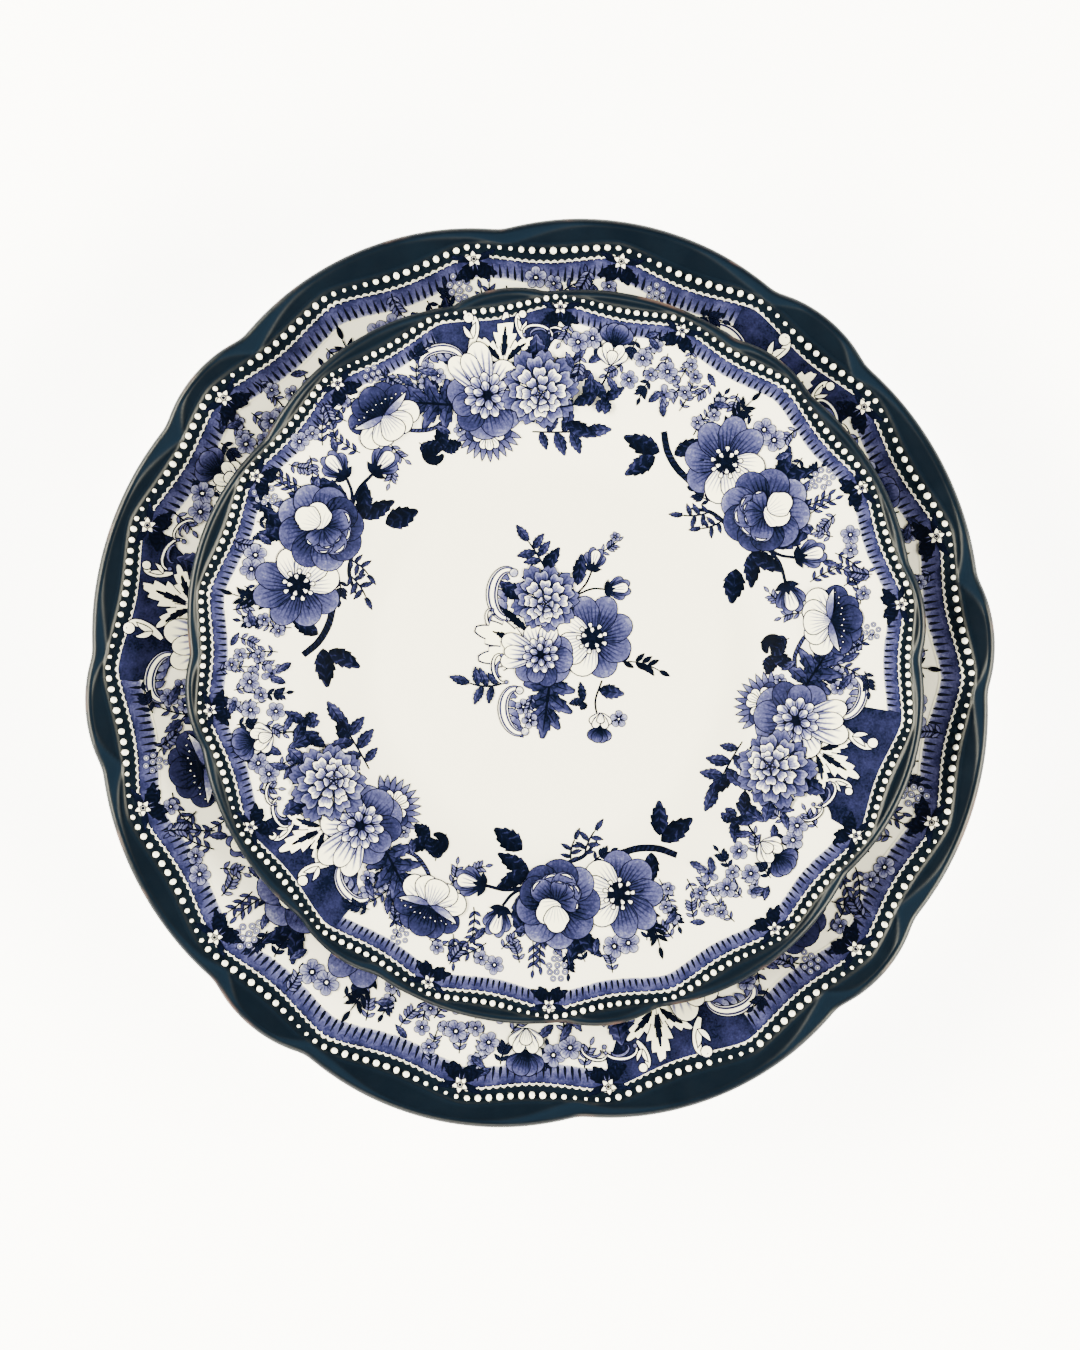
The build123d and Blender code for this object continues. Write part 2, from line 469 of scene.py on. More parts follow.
class Sock:
    """A number or colour socket in a material's tree, with arithmetic that adds Math nodes."""

    def __init__(self, tree, socket):
        self.tree = tree
        self.socket = socket

    def math(self, operation, *others, clamp=False):
        """A Math node on this number and the others."""
        settings = {"operation": operation, "use_clamp": clamp}
        return self.tree.node("ShaderNodeMath", settings, {0: self, **dict(enumerate(others, 1))})

    def __add__(self, other):
        return self.math("ADD", other)

    def __sub__(self, other):
        return self.math("SUBTRACT", other)

    def __rsub__(self, other):
        return self * -1.0 + other

    def __mul__(self, other):
        return self.math("MULTIPLY", other)

    __radd__ = __add__
    __rmul__ = __mul__

    def between(self, low, high):
        """0 at low, 1 at high, smooth and clamped."""
        settings = {"interpolation_type": "SMOOTHSTEP"}
        return self.tree.node("ShaderNodeMapRange", settings, {0: self, 1: low, 2: high}, "Result")

    def clamped(self):
        """The number, kept between 0 and 1."""
        return self.math("ADD", 0.0, clamp=True)


class Finish:
    """A material being built from nodes."""

    def __init__(self, name):
        self.material = bpy.data.materials.new(name)
        self.material.use_nodes = True
        self.tree = self.material.node_tree
        self.tree.nodes.clear()

    def node(self, kind, settings=None, values=None, output=0):
        """Adds a node: its settings first, then the values or links of its sockets."""
        node = self.tree.nodes.new(kind)
        for setting, value in (settings or {}).items():
            if setting == "stops":
                self.set_stops(node.color_ramp, value)
            else:
                setattr(node, setting, value)
        for socket, value in (values or {}).items():
            if isinstance(value, Sock):
                self.tree.links.new(value.socket, node.inputs[socket])
            else:
                node.inputs[socket].default_value = value
        return Sock(self, node.outputs[output]) if node.outputs else node

    @staticmethod
    def set_stops(ramp, stops):
        """Puts a ramp's colours at their places."""
        while len(ramp.elements) < len(stops):
            ramp.elements.new(1.0)
        for element, (place, value) in zip(ramp.elements, stops):
            element.position = place
            element.color = (*value, 1.0)

    def mix(self, factor, first, second):
        """A blend of two colours."""
        return self.node("ShaderNodeMix", {"data_type": "RGBA"}, {0: factor, 6: first, 7: second}, 2)

    def place(self):
        """Object coordinates."""
        return self.node("ShaderNodeTexCoord", output=3)

    def noise(self, scale, detail=3.0, roughness=0.5, distortion=0.0):
        """Noise on object coordinates, 0 to 1. The scale is in cycles per metre."""
        return self.node("ShaderNodeTexNoise", {}, {
            "Vector": self.place(), "Scale": scale, "Detail": detail, "Roughness": roughness,
            "Distortion": distortion})

    def attribute(self, name, output):
        """A number or colour stored on the mesh."""
        return self.node("ShaderNodeAttribute", {"attribute_name": name}, {}, output)

    def done(self, colour_value, roughness, bump=None, specular=0.5, glow=0.0):
        """Ends the tree in one Principled shader."""
        values = {"Base Color": colour_value, "Roughness": roughness, "Specular IOR Level": specular}
        if glow:
            values.update({"Emission Color": colour_value, "Emission Strength": glow})
        if bump is not None:
            height, distance = bump
            values["Normal"] = self.node(
                "ShaderNodeBump", {}, {"Strength": 1.0, "Distance": distance, "Height": height})
        shader = self.node("ShaderNodeBsdfPrincipled", {}, values)
        self.node("ShaderNodeOutputMaterial", {}, {"Surface": shader})
        return self.material


def rgba(value):
    """A colour with its alpha."""
    return (*value, 1.0)


def scaled(value, factor):
    """A colour made darker or lighter, with its alpha."""
    return tuple(part * factor for part in value) + (1.0,)


def glaze_finish(colours):
    """Cream glaze: a little uneven in tone, with the faint swell that a dipped glaze has."""
    finish = Finish("porcelain_glaze")
    cloud = finish.noise(14.0, 2.0)
    tone = finish.mix(cloud.between(0.35, 0.7), scaled(colours.glaze, 0.975), rgba(colours.glaze))
    speck = finish.noise(2600.0, 1.0).between(0.80, 0.84)
    tone = finish.mix(speck * 0.25, tone, scaled(colours.glaze, 0.7))
    swell = finish.noise(45.0, 1.0)
    return finish.done(tone, 0.12 + 0.05 * finish.noise(60.0), (swell, 0.00012))


def rim_finish(colours):
    """Dark teal glaze: deeper in patches, with a painted highlight on the raised lip and ridges, worn at the
    very edge.
    """
    finish = Finish("rim_glaze")
    cloud = finish.noise(60.0, 4.0, 0.6, 0.4).between(0.3, 0.7)
    relief = finish.attribute("relief", 2)
    tone = finish.mix(cloud * 0.55, rgba(colours.rim), rgba(colours.rim_deep))
    # Painted highlight: where the glaze stands raised, the rim is blended towards a lighter copy of its own
    # colour.
    tone = finish.mix(relief.clamped() * 0.75, tone, scaled(colours.rim, 2.0))
    edge = finish.attribute("edge", 2)
    patches = finish.noise(38.0, 3.0, 0.7).between(0.55, 0.68)
    tone = finish.mix(edge * patches * 0.8, tone, rgba(colours.worn))
    swell = finish.noise(160.0, 2.0)
    return finish.done(tone, 0.28 + 0.10 * finish.noise(220.0), (swell, 0.00005), specular=0.12)


def pearl_finish(colours):
    """White enamel drops, each a little uneven in tone."""
    finish = Finish("pearl_enamel")
    uneven = finish.noise(420.0, 2.0).between(0.3, 0.75)
    tone = finish.mix(uneven, scaled(colours.pearl, 0.86), rgba(colours.pearl))
    return finish.done(tone, 0.16 + 0.1 * finish.noise(900.0), (finish.noise(700.0), 0.00008))


def foot_finish(colours):
    """Bare fired clay, ground flat, with dust in its pores."""
    finish = Finish("bare_foot")
    grain = finish.noise(1800.0, 4.0, 0.7)
    stain = finish.noise(90.0, 3.0).between(0.4, 0.7)
    tone = finish.mix(grain, scaled(colours.foot, 0.8), rgba(colours.foot))
    tone = finish.mix(stain * 0.3, tone, scaled(colours.foot, 0.5))
    return finish.done(tone, 0.8 + 0.15 * grain, (grain, 0.00015))


def print_finish(colours):
    """The blue print. Each shape carries its distance from its outline, its tone from 0, bare glaze, to 1,
    and where its engraved lines run."""
    finish = Finish("blue_print")
    drawing = finish.attribute("drawing", 0)
    inside, tone, hatch = (
        finish.node("ShaderNodeSeparateColor", {}, {0: drawing}, part) for part in range(3))
    strength = finish.attribute("drawing", 3)
    wave = (hatch.math("FRACT") - 0.5).math("ABSOLUTE") * 2.0
    fine = finish.noise(1500.0, 2.0, 0.6)
    broad = finish.noise(330.0, 3.0, 0.6)
    mottle = (fine - 0.5) * 0.34 + (broad - 0.5) * 0.36
    inked = tone.between(0.03, 0.22)
    tone = tone + wave.between(0.45, 0.95) * strength + mottle * inked
    outline = 1.0 - inside.between(0.18, 0.46)
    tone = tone.math("MAXIMUM", outline * (0.92 + (broad - 0.5) * 0.4))
    ink = finish.node("ShaderNodeValToRGB", {"stops": (
        (0.0, colours.reserve), (0.07, colours.reserve), (0.22, colours.ink_faint), (0.42, colours.ink_pale),
        (0.62, colours.ink_mid), (0.84, colours.ink_deep), (1.0, colours.ink_black))}, {0: tone.clamped()})
    return finish.done(ink, 0.12 + 0.06 * broad, (finish.noise(45.0, 1.0), 0.00012), specular=0.25)


def floor_finish(colours):
    """Matte studio paper."""
    finish = Finish("studio_floor")
    fibre = finish.noise(300.0, 2.0)
    tone = finish.mix(fibre, scaled(colours.floor, 0.985), rgba(colours.floor))
    return finish.done(tone, 0.9, glow=FLOOR_GLOW)


def tooth_finish(colours):
    """Dark ink of the ribbon's teeth."""
    finish = Finish("tooth_ink")
    cloud = finish.noise(900.0, 2.0).between(0.3, 0.7)
    tone = finish.mix(cloud, rgba(colours.ink_deep), rgba(colours.ink_black))
    return finish.done(tone, 0.15)


FINISHES = {
    "porcelain_glaze": glaze_finish, "rim_glaze": rim_finish, "pearl_enamel": pearl_finish,
    "bare_foot": foot_finish, "blue_print": print_finish, "tooth_ink": tooth_finish,
    "studio_floor": floor_finish,
}


def finish_named(context, name):
    """A finish, built the first time that it is asked for."""
    found = bpy.data.materials.get(name)
    return found or FINISHES[name](context.scene.china_colours)


# ------------------------------------------------------------------ drawing the print

class Sheet:
    """Print on a plate: shapes drawn in millimetres, each lying on the ones drawn before it, and all of them
    following the plate's glaze."""

    CELL = 0.3            # of the map that says how many shapes lie on each spot
    GAP = 0.045           # from the glaze to the first shape
    STEP = 0.011          # from one shape to the next above it

    def __init__(self, plate):
        self.plate = plate
        self.half = int(plate.rim * 1.05 / self.CELL)
        self.depth = np.zeros((2 * self.half, 2 * self.half), int)
        self.frames = [np.eye(3)]
        self.held = None
        self.fineness = 1.0
        self.points, self.levels, self.faces, self.ink = [], [], [], []
        self.count = 0

    @contextmanager
    def at(self, x=0.0, y=0.0, turn=0.0, size=1.0, flip=False):
        """What is drawn inside is moved, turned by degrees, sized and perhaps mirrored."""
        angle = math.radians(turn)
        c, s = math.cos(angle) * size, math.sin(angle) * size
        mirror = -1.0 if flip else 1.0
        self.frames.append(self.frames[-1] @ np.array(((c * mirror, -s, x), (s * mirror, c, y), (0, 0, 1.0))))
        yield
        self.frames.pop()

    @contextmanager
    def on_rim(self, angle_deg, part, turn=0.0, size=1.0, flip=False):
        """A spot at an angle round the plate and a part of its radius, with +Y outwards."""
        angle = math.radians(angle_deg)
        radius = part * self.plate.rim
        with self.at(radius * math.cos(angle), radius * math.sin(angle), angle_deg - 90.0 + turn, size, flip):
            yield

    @contextmanager
    def flat(self, radius):
        """The shapes drawn inside lie side by side at one level, above all that is within a radius."""
        frame_now = self.frames[-1]
        reach = radius * math.sqrt(abs(np.linalg.det(frame_now[:2, :2])))
        around = np.linspace(0, FULL_TURN, 24, endpoint=False)
        circle = np.column_stack((np.cos(around), np.sin(around))) * reach
        spots = np.concatenate([circle * share for share in (0, 0.35, 0.65, 0.95)])
        outer, self.held = self.held, 1 + self.look(spots + frame_now[:2, 2]).max()
        yield
        self.held = outer

    @contextmanager
    def finer(self, factor):
        """The outlines of what is drawn inside are that many times thinner."""
        outer, self.fineness = self.fineness, factor
        yield
        self.fineness = outer

    def cells(self, spots):
        """The cells of the map that spots lie in."""
        found = np.floor(spots / self.CELL).astype(int) + self.half
        return np.clip(found, 0, 2 * self.half - 1)

    def look(self, spots):
        """How many shapes lie on each spot."""
        found = self.cells(spots)
        return self.depth[found[:, 0], found[:, 1]]

    def add(self, xy, quads, ink):
        """Adds one shape: its points, its faces as rows of four with a triangle's last point twice, its
        ink."""
        frame_now = self.frames[-1]
        turning = np.linalg.det(frame_now[:2, :2])
        xy = xy @ frame_now[:2, :2].T + frame_now[:2, 2]
        ink = np.array(ink, float)
        ink[:, 0] *= math.sqrt(abs(turning)) * self.fineness
        corners = xy[quads]
        across, along = corners[:, 2] - corners[:, 0], corners[:, 3] - corners[:, 1]
        if (across[:, 0] * along[:, 1] - across[:, 1] * along[:, 0]).sum() < 0:
            quads = quads[:, ::-1]
            corners = xy[quads]
        steps = (np.arange(4) + 0.5) / 4
        u, v = (part.ravel() for part in np.meshgrid(steps, steps))
        weights = np.stack(((1 - u) * (1 - v), u * (1 - v), u * v, (1 - u) * v))
        spots = np.einsum("qkc,kw->qwc", corners, weights).reshape(-1, 2)
        level = self.held if self.held is not None else 1 + self.look(spots).max()
        found = self.cells(spots)
        self.depth[found[:, 0], found[:, 1]] = np.maximum(self.depth[found[:, 0], found[:, 1]], level)
        self.points.append(xy)
        self.levels.append(np.full(len(xy), level))
        self.ink.append(ink)
        self.faces += [tuple(dict.fromkeys(q)) for q in (quads + self.count).tolist()]
        self.count += len(xy)

    def grid(self, x, y, inside, tone, hatch=0.0, strength=0.0, closed=False):
        """Adds a shape given as rows and columns of points."""
        rows, cols = x.shape
        number = np.arange(rows * cols).reshape(rows, cols)
        right = np.roll(number, -1, axis=1) if closed else number[:, 1:]
        left = number if closed else number[:, :-1]
        quads = np.stack((left[:-1], right[:-1], right[1:], left[1:]), axis=-1).reshape(-1, 4)
        parts = [np.broadcast_to(part, x.shape).ravel() for part in (inside, tone, hatch, strength)]
        self.add(np.column_stack((x.ravel(), y.ravel())), quads, np.column_stack(parts))

    def blob(self, boundary, centre, tone, hatch=0.0, strength=0.0, rings=(0.4, 0.7, 0.88, 1.0)):
        """Adds a shape given by its outline. Tone, hatch and strength may be functions of x and y."""
        boundary = np.asarray(boundary, float)
        centre = np.asarray(centre, float)
        spokes = boundary - centre
        reach = np.hypot(spokes[:, 0], spokes[:, 1])
        xy = np.concatenate([centre[None]] + [centre + spokes * ring for ring in rings])
        inside = np.concatenate([[reach.min()]] + [reach * (1 - ring) for ring in rings])
        count = len(boundary)
        here = np.arange(count)
        after = (here + 1) % count
        quads = [np.column_stack((0 * here, 1 + here, 1 + after, 1 + after))]
        for ring in range(len(rings) - 1):
            first, second = 1 + ring * count, 1 + (ring + 1) * count
            quads.append(np.column_stack((first + here, second + here, second + after, first + after)))
        values = [part(xy[:, 0], xy[:, 1]) if callable(part) else np.full(len(xy), float(part))
                  for part in (tone, hatch, strength)]
        self.add(xy, np.concatenate(quads), np.column_stack((inside, *values)))

    def build(self, name, material):
        """Turns the sheet into a mesh that follows the glaze."""
        xy = np.concatenate(self.points)
        lift = self.GAP + self.STEP * np.concatenate(self.levels)
        z = self.plate.top(xy[:, 0], xy[:, 1]) + lift
        piece = new_mesh(name, np.column_stack((xy, z)), self.faces, self.plate.middle, [material])
        drawing = piece.data.attributes.new("drawing", "FLOAT_COLOR", "POINT")
        drawing.data.foreach_set("color", np.concatenate(self.ink).astype(np.float32).ravel())
        return piece


# ------------------------------------------------------------------ strokes, petals and leaves

WHITE, PALE, MIDDLE, DEEP, BLACK = 0.0, 0.40, 0.60, 0.84, 0.98


def path(points, spacing=0.6):
    """A smooth line through points, with its unit headings."""
    points = np.asarray(points, float)
    ends = np.vstack((2 * points[0] - points[1], points, 2 * points[-1] - points[-2]))
    line = []
    for p0, p1, p2, p3 in zip(ends, ends[1:], ends[2:], ends[3:]):
        t = np.linspace(0, 1, max(3, int(np.hypot(*(p2 - p1)) / spacing)), endpoint=False)[:, None]
        line.append(0.5 * (2 * p1 + (p2 - p0) * t + (2 * p0 - 5 * p1 + 4 * p2 - p3) * t ** 2
                           + (3 * p1 - p0 - 3 * p2 + p3) * t ** 3))
    line = np.vstack(line + [points[-1:]])
    heading = np.gradient(line, axis=0)
    return line, heading / np.linalg.norm(heading, axis=1, keepdims=True)


def curl(span, straight, curled, steps=40, power=3.0):
    """A C-shaped line as long as span, which turns by straight degrees over its middle and by curled degrees
    more towards its two ends."""
    s = np.linspace(0, 1, steps)
    along = np.abs(2 * s - 1) ** power
    bend = np.radians(straight) + np.radians(curled) * (power + 1) * along
    angle = np.cumsum(bend) / steps
    angle -= angle[steps // 2]
    line = np.cumsum(np.column_stack((-np.sin(angle), np.cos(angle))), axis=0) * span / steps
    return line - line[steps // 2]


def stroke(pen, points, width, tone, thin=0.35, flutes=0.0, rope=0.0, cols=4, already=False):
    """A line of ink: thin is its ends' width as a part of the middle's. Flutes are lines along it, and rope
    is twists for each millimetre."""
    if already:
        line = np.asarray(points, float)
        heading = np.gradient(line, axis=0)
        heading /= np.linalg.norm(heading, axis=1, keepdims=True)
    else:
        line, heading = path(points)
    s = np.linspace(0, 1, len(line))[:, None]
    half = width / 2 * (thin + (1 - thin) * np.sin(math.pi * s) ** 0.7)
    u = np.linspace(-1, 1, cols + 1)[None]
    x = line[:, :1] + u * half * heading[:, 1:]
    y = line[:, 1:] - u * half * heading[:, :1]
    inside = (1 - np.abs(u)) * half
    if flutes:
        pen.grid(x, y, inside, tone, u * flutes + 0.5, 0.75)
    elif rope:
        run = np.cumsum(np.hypot(*np.gradient(line, axis=0).T))[:, None]
        pen.grid(x, y, inside, tone, run * rope + u * 0.4, 0.5)
    else:
        pen.grid(x, y, inside, tone)


def blade(pen, long, wide, tone=(BLACK, DEEP), bend=0.0, teeth=0, cut=0.3, veins=0, strength=0.25,
          halves=0.0, fullness=0.8, stalk=0.02, cols=4, rows=10):
    """A leaf or a narrow petal along +Y: its tone from foot to tip, its bend in degrees, its teeth, its
    veins, and how much darker its left half is."""
    if teeth:
        rows = teeth * 4
    v = np.linspace(0, 1, rows + 1)
    half = wide / 2 * np.maximum(np.sin(math.pi * v ** fullness) ** 0.85, stalk)
    saw = np.mod(v * teeth, 1.0) if teeth else np.zeros_like(v)
    forward = saw * cut * long / max(teeth, 1) * 0.9
    half = half * (1 - cut * (1 - saw)) if teeth else half
    turn = np.radians(bend) * v
    sx = np.concatenate(((0,), np.cumsum(np.sin(turn[1:])))) * long / rows
    sy = np.concatenate(((0,), np.cumsum(np.cos(turn[1:])))) * long / rows
    u = np.linspace(-1, 1, cols + 1)[None]
    half, v, turn, forward = (part[:, None] for part in (half, v, turn, forward))
    push = forward * np.abs(u)
    x = sx[:, None] + u * half * np.cos(turn) + push * np.sin(turn)
    y = sy[:, None] - u * half * np.sin(turn) + push * np.cos(turn)
    shade = tone[0] + (tone[1] - tone[0]) * v - halves * u
    inside = (1 - np.abs(u)) * half
    pen.grid(x, y, inside, shade, v * veins + np.abs(u) * 0.9, strength if veins else 0.0)


def petal(pen, long, wide, tone=(DEEP, PALE), frill=0.0, waves=3, streaks=6, strength=0.18, belly=0.6,
          fold=0.0, count=26, power=1.0):
    """A round petal along +Y, darker at its foot, with engraved streaks and a tip that may be frilled. Fold
    is the width of a pale turned-over lip, as a part of the length."""
    t = np.linspace(0, FULL_TURN, count, endpoint=False)
    y = 0.5 - 0.5 * np.cos(t)
    x = 0.5 * np.sin(t) * (1 - belly + belly * y) / (1 - 0.45 * belly)
    swell = 1 + frill * np.cos(waves * (t - math.pi)) * smooth(0.45, 0.8, y)
    boundary = np.column_stack((x * wide * swell, long * (0.5 + (y - 0.5) * swell)))

    def shade(px, py):
        up = np.clip(py / long, 0, 1) ** power
        return tone[0] + (tone[1] - tone[0]) * up

    def lines(px, py):
        return np.arctan2(px, py + 0.25 * long) * streaks + 0.5

    def fade(px, py):
        return strength * smooth(1.0, 0.35, py / long)

    pen.blob(boundary, (0, 0.55 * long), shade, lines, fade)
    if fold:
        arc = np.linspace(-0.62, 0.62, 9)
        middle = np.column_stack((np.sin(arc) * wide * 0.47, long * (0.5 + np.cos(arc) * (0.5 - fold * 0.6))))
        stroke(pen, middle, long * fold, WHITE, thin=0.25, already=True, cols=2)


def petals(pen, size, spots, tone=None, foot=(0.0, 0.0), **named):
    """Petals from one foot: each one's turn, its length and width as parts of a size, and its own tone if it
    has one."""
    for turn, long, wide, *own in spots:
        with pen.at(foot[0] * size, foot[1] * size, turn):
            petal(pen, long * size, wide * size, *(own or (tone,)), **named)


def sector(pen, inner, outer, turn, half_angle, tone, bumps=2, frill=0.05, rows=5, cols=8, power=0.7):
    """One petal of a ring about the origin, filling its share of the ring."""
    u = np.linspace(-1, 1, cols + 1)[None]
    v = np.linspace(0, 1, rows + 1)[:, None]
    tip = outer * (1 - 0.16 * np.abs(u) ** 3 - frill * np.cos(bumps * math.pi * u))
    radius = inner + (tip - inner) * v
    angle = math.radians(turn) - u * math.radians(half_angle) * (0.8 + 0.2 * v)
    shade = tone[0] + (tone[1] - tone[0]) * v ** power
    inside = np.minimum((1 - np.abs(u)) * radius * math.radians(half_angle), tip - radius)
    pen.grid(*polar(radius, angle), inside, shade, u * 2.5 + 0.5, 0.2 * (1 - v) + 0 * u)


def dot(pen, x, y, size, tone, sides=9):
    """A small round spot."""
    t = np.linspace(0, FULL_TURN, sides, endpoint=False)
    pen.blob(np.column_stack((x + np.cos(t) * size, y + np.sin(t) * size)), (x, y), tone, rings=(0.5, 1.0))


def cluster(pen, wide, high):
    """A flower's heart: little curled petals round a dark pit."""
    t = np.linspace(0, FULL_TURN, 18, endpoint=False)
    pit = np.column_stack((np.cos(t) * wide * 0.42, np.sin(t) * high * 0.42))
    pen.blob(pit, (0, 0), BLACK, rings=(0.5, 1.0))
    for count, spread, size in ((11, 0.42, 0.40), (6, 0.15, 0.34)):
        for step in range(count):
            angle = 360 / count * (step + 0.3)
            x, y = math.cos(math.radians(angle)), math.sin(math.radians(angle))
            with pen.at(x * wide * spread * 0.62, y * high * spread * 0.62, angle - 90):
                petal(pen, size * wide * 0.8, size * wide * 0.72, (0.5, WHITE), frill=0.12, streaks=2,
                      strength=0.3, belly=0.3, count=14)
    dot(pen, 0.04 * wide, 0.02 * high, 0.10 * wide, BLACK)


# ------------------------------------------------------------------ flowers, about their middles

def dahlia(pen, size=10.0):
    """A full double flower in rings: blue outside, white inside, its heart set a little low."""
    rings = (
        (9, 0.52, 1.00, (DEEP, PALE), 0.00, 3),
        (9, 0.40, 0.85, (BLACK, 0.22), -0.04, 2),
        (8, 0.26, 0.66, (DEEP, WHITE), -0.08, 2),
        (7, 0.16, 0.47, (DEEP, WHITE), -0.13, 2),
        (5, 0.06, 0.28, (DEEP, WHITE), -0.17, 1),
    )
    for number, (count, inner, outer, tone, sink, bumps) in enumerate(rings):
        with pen.at(0.0, sink * size), pen.flat(outer * size):
            for step in range(count):
                wobble = 0.05 * math.sin(2.7 * step + number)
                turn = 360 / count * (step + 0.5 * number)
                sector(pen, inner * size, (outer + wobble * outer) * size, turn, 180 / count * 0.98, tone,
                       bumps, power=0.9 if number < 2 else 0.7)
    with pen.at(0.0, -0.17 * size):
        for step in range(5):
            angle = math.radians(72 * step)
            dot(pen, math.cos(angle) * 0.075 * size, math.sin(angle) * 0.075 * size, 0.05 * size, PALE, 8)
        dot(pen, 0, 0, 0.035 * size, BLACK, 6)


def peony(pen, size=10.0):
    """An open flower: round blue petals, tall white ones above them and a crowded heart."""
    petals(pen, size, (
        (150, 1.05, 0.95), (205, 1.0, 0.95), (178, 1.02, 0.85, (BLACK, PALE)), (248, 0.85, 0.75),
        (118, 1.0, 0.70, (DEEP, MIDDLE))), (DEEP, PALE), frill=0.06, streaks=9, strength=0.24, power=0.7)
    petals(pen, size, ((60, 1.0, 0.72), (88, 0.9, 0.6)), (DEEP, PALE), frill=0.03, streaks=9)
    petals(pen, size, (
        (-62, 1.0, 0.72), (-98, 1.02, 0.62), (22, 1.28, 0.55), (-12, 1.32, 0.62), (6, 1.15, 0.46)),
        (0.62, WHITE), frill=0.02, waves=2, streaks=8, strength=0.45, power=0.45)
    cluster(pen, 1.0 * size, 0.95 * size)


def anemone(pen, size=10.0):
    """Broad petals round pale stamens: white to one side, blue to the other, nearly black at the heart."""
    petals(pen, size, (
        (195, 1.02, 0.82), (240, 1.0, 0.80), (285, 1.05, 0.74), (328, 1.1, 0.72), (5, 1.05, 0.70)),
        (1.0, PALE), frill=0.08, streaks=10, strength=0.26, power=0.6)
    petals(pen, size, ((150, 0.98, 0.78), (58, 0.92, 0.72), (108, 0.95, 0.86)),
           (0.34, WHITE), frill=0.07, streaks=9, strength=0.22, power=0.4)
    dot(pen, 0, 0, 0.30 * size, BLACK, 14)
    for ring, count in ((0.24, 9), (0.12, 5)):
        for step in range(count):
            angle = FULL_TURN / count * (step + ring)
            x, y = math.cos(angle) * ring * size, math.sin(angle) * ring * size
            with pen.at(x, y, math.degrees(angle) - 90):
                petal(pen, 0.17 * size, 0.14 * size, (0.2, WHITE), streaks=0, strength=0, count=10)


def cabbage_rose(pen, size=10.0):
    """A full rose: round blue petals, with two white lobed petals folded over its dark heart."""
    petals(pen, size, (
        (10, 1.05, 0.80, (DEEP, 0.34)), (52, 1.0, 0.85, (DEEP, 0.48)), (96, 1.0, 0.8, (BLACK, 0.52)),
        (138, 1.02, 0.8, (DEEP, 0.36)), (-30, 1.02, 0.8, (DEEP, 0.36)), (-72, 0.95, 0.8, (DEEP, 0.46)),
        (180, 0.98, 0.9, (BLACK, 0.56)), (222, 0.95, 0.8, (BLACK, MIDDLE)), (-108, 0.9, 0.8, (BLACK, 0.66))),
        frill=0.06, streaks=9, strength=0.24)
    petals(pen, size, ((200, 0.68, 0.62), (165, 0.72, 0.6), (238, 0.7, 0.55), (130, 0.62, 0.5)),
           (BLACK, 0.35), frill=0.05, streaks=7, fold=0.12)
    petals(pen, size, ((100, 0.45, 0.4), (80, 0.55, 0.34), (135, 0.5, 0.36), (175, 0.46, 0.4)),
           (DEEP, PALE), (0.02, -0.05), streaks=4, fold=0.14, count=16)
    for x, y, turn, long, wide in ((-0.10, 0.02, -52, 0.62, 0.693), (0.02, 0.06, 8, 0.60, 0.651)):
        petals(pen, size, ((turn, long, wide),), (0.16, WHITE), (x, y), frill=0.15, streaks=5,
               strength=0.14, power=0.3, belly=0.35)


def poppy(pen, size=10.0):
    """A poppy from the side: a dark spotted bowl of petals above, and white ones hanging below."""
    petals(pen, size, (
        (64, 0.95, 0.68), (30, 0.92, 0.64), (-30, 0.92, 0.64), (-64, 0.95, 0.68), (0, 0.9, 0.76)),
        (BLACK, MIDDLE), (0, -0.1), frill=0.07, streaks=8)
    for step in range(11):
        x = (step - 5) / 5 * 0.72
        y = 0.18 + 0.10 * math.cos(2.2 * x) + 0.05 * (step % 2)
        dot(pen, x * size, y * size, 0.045 * size, WHITE, 6)
    petals(pen, size, (
        (118, 0.95, 0.62), (-118, 0.95, 0.62), (146, 0.8, 0.6), (-146, 0.8, 0.6), (180, 0.72, 0.66)),
        (0.4, WHITE), (0, 0.02), frill=0.03, waves=2, streaks=7, strength=0.22, power=0.35)
    for turn in (96, -96):
        with pen.at(0, 0, turn):
            blade(pen, 0.9 * size, 0.22 * size, (MIDDLE, WHITE), bend=turn / 3)


def carnation(pen, size=8.0):
    """A fringed flower in profile, its fringe along -Y."""
    for step in range(11):
        turn = 180 + (step - 5) * 13
        with pen.at((step - 5) * 0.02 * size, 0.45 * size, turn):
            blade(pen, (1.35 - 0.02 * abs(step - 5)) * size, 0.26 * size, (BLACK, 0.25), rows=8, fullness=1.5)
    petals(pen, size, (
        (84, 0.85, 0.55), (-84, 0.85, 0.55), (46, 0.72, 0.6), (-46, 0.72, 0.6), (0, 0.62, 0.7)),
        (BLACK, MIDDLE), (0, 0.12), frill=0.06, streaks=8)
    petals(pen, size, [(turn, 0.62, 0.34) for turn in (104, -104, 150, -150, 180)],
           (0.35, WHITE), (0, 0.15), streaks=5, strength=0.4, power=0.4)


def tulip(pen, size=6.0):
    """A cup of white petals with a blue crown and a dark heart, opening along +Y."""
    petals(pen, size, [(turn, 0.92, 0.7) for turn in (40, -40, 14, -14)],
           (1.0, PALE), (0, 0.1), frill=0.03, streaks=7)
    petals(pen, size, (
        (42.9, 0.8925, 0.5), (-42.9, 0.8925, 0.5), (20.9, 0.9975, 0.5), (-20.9, 0.9975, 0.5),
        (0, 0.651, 0.5)), (0.3, WHITE), (0, -0.75), streaks=6, strength=0.25, power=0.3)
    dot(pen, 0, 0.16 * size, 0.14 * size, BLACK, 10)


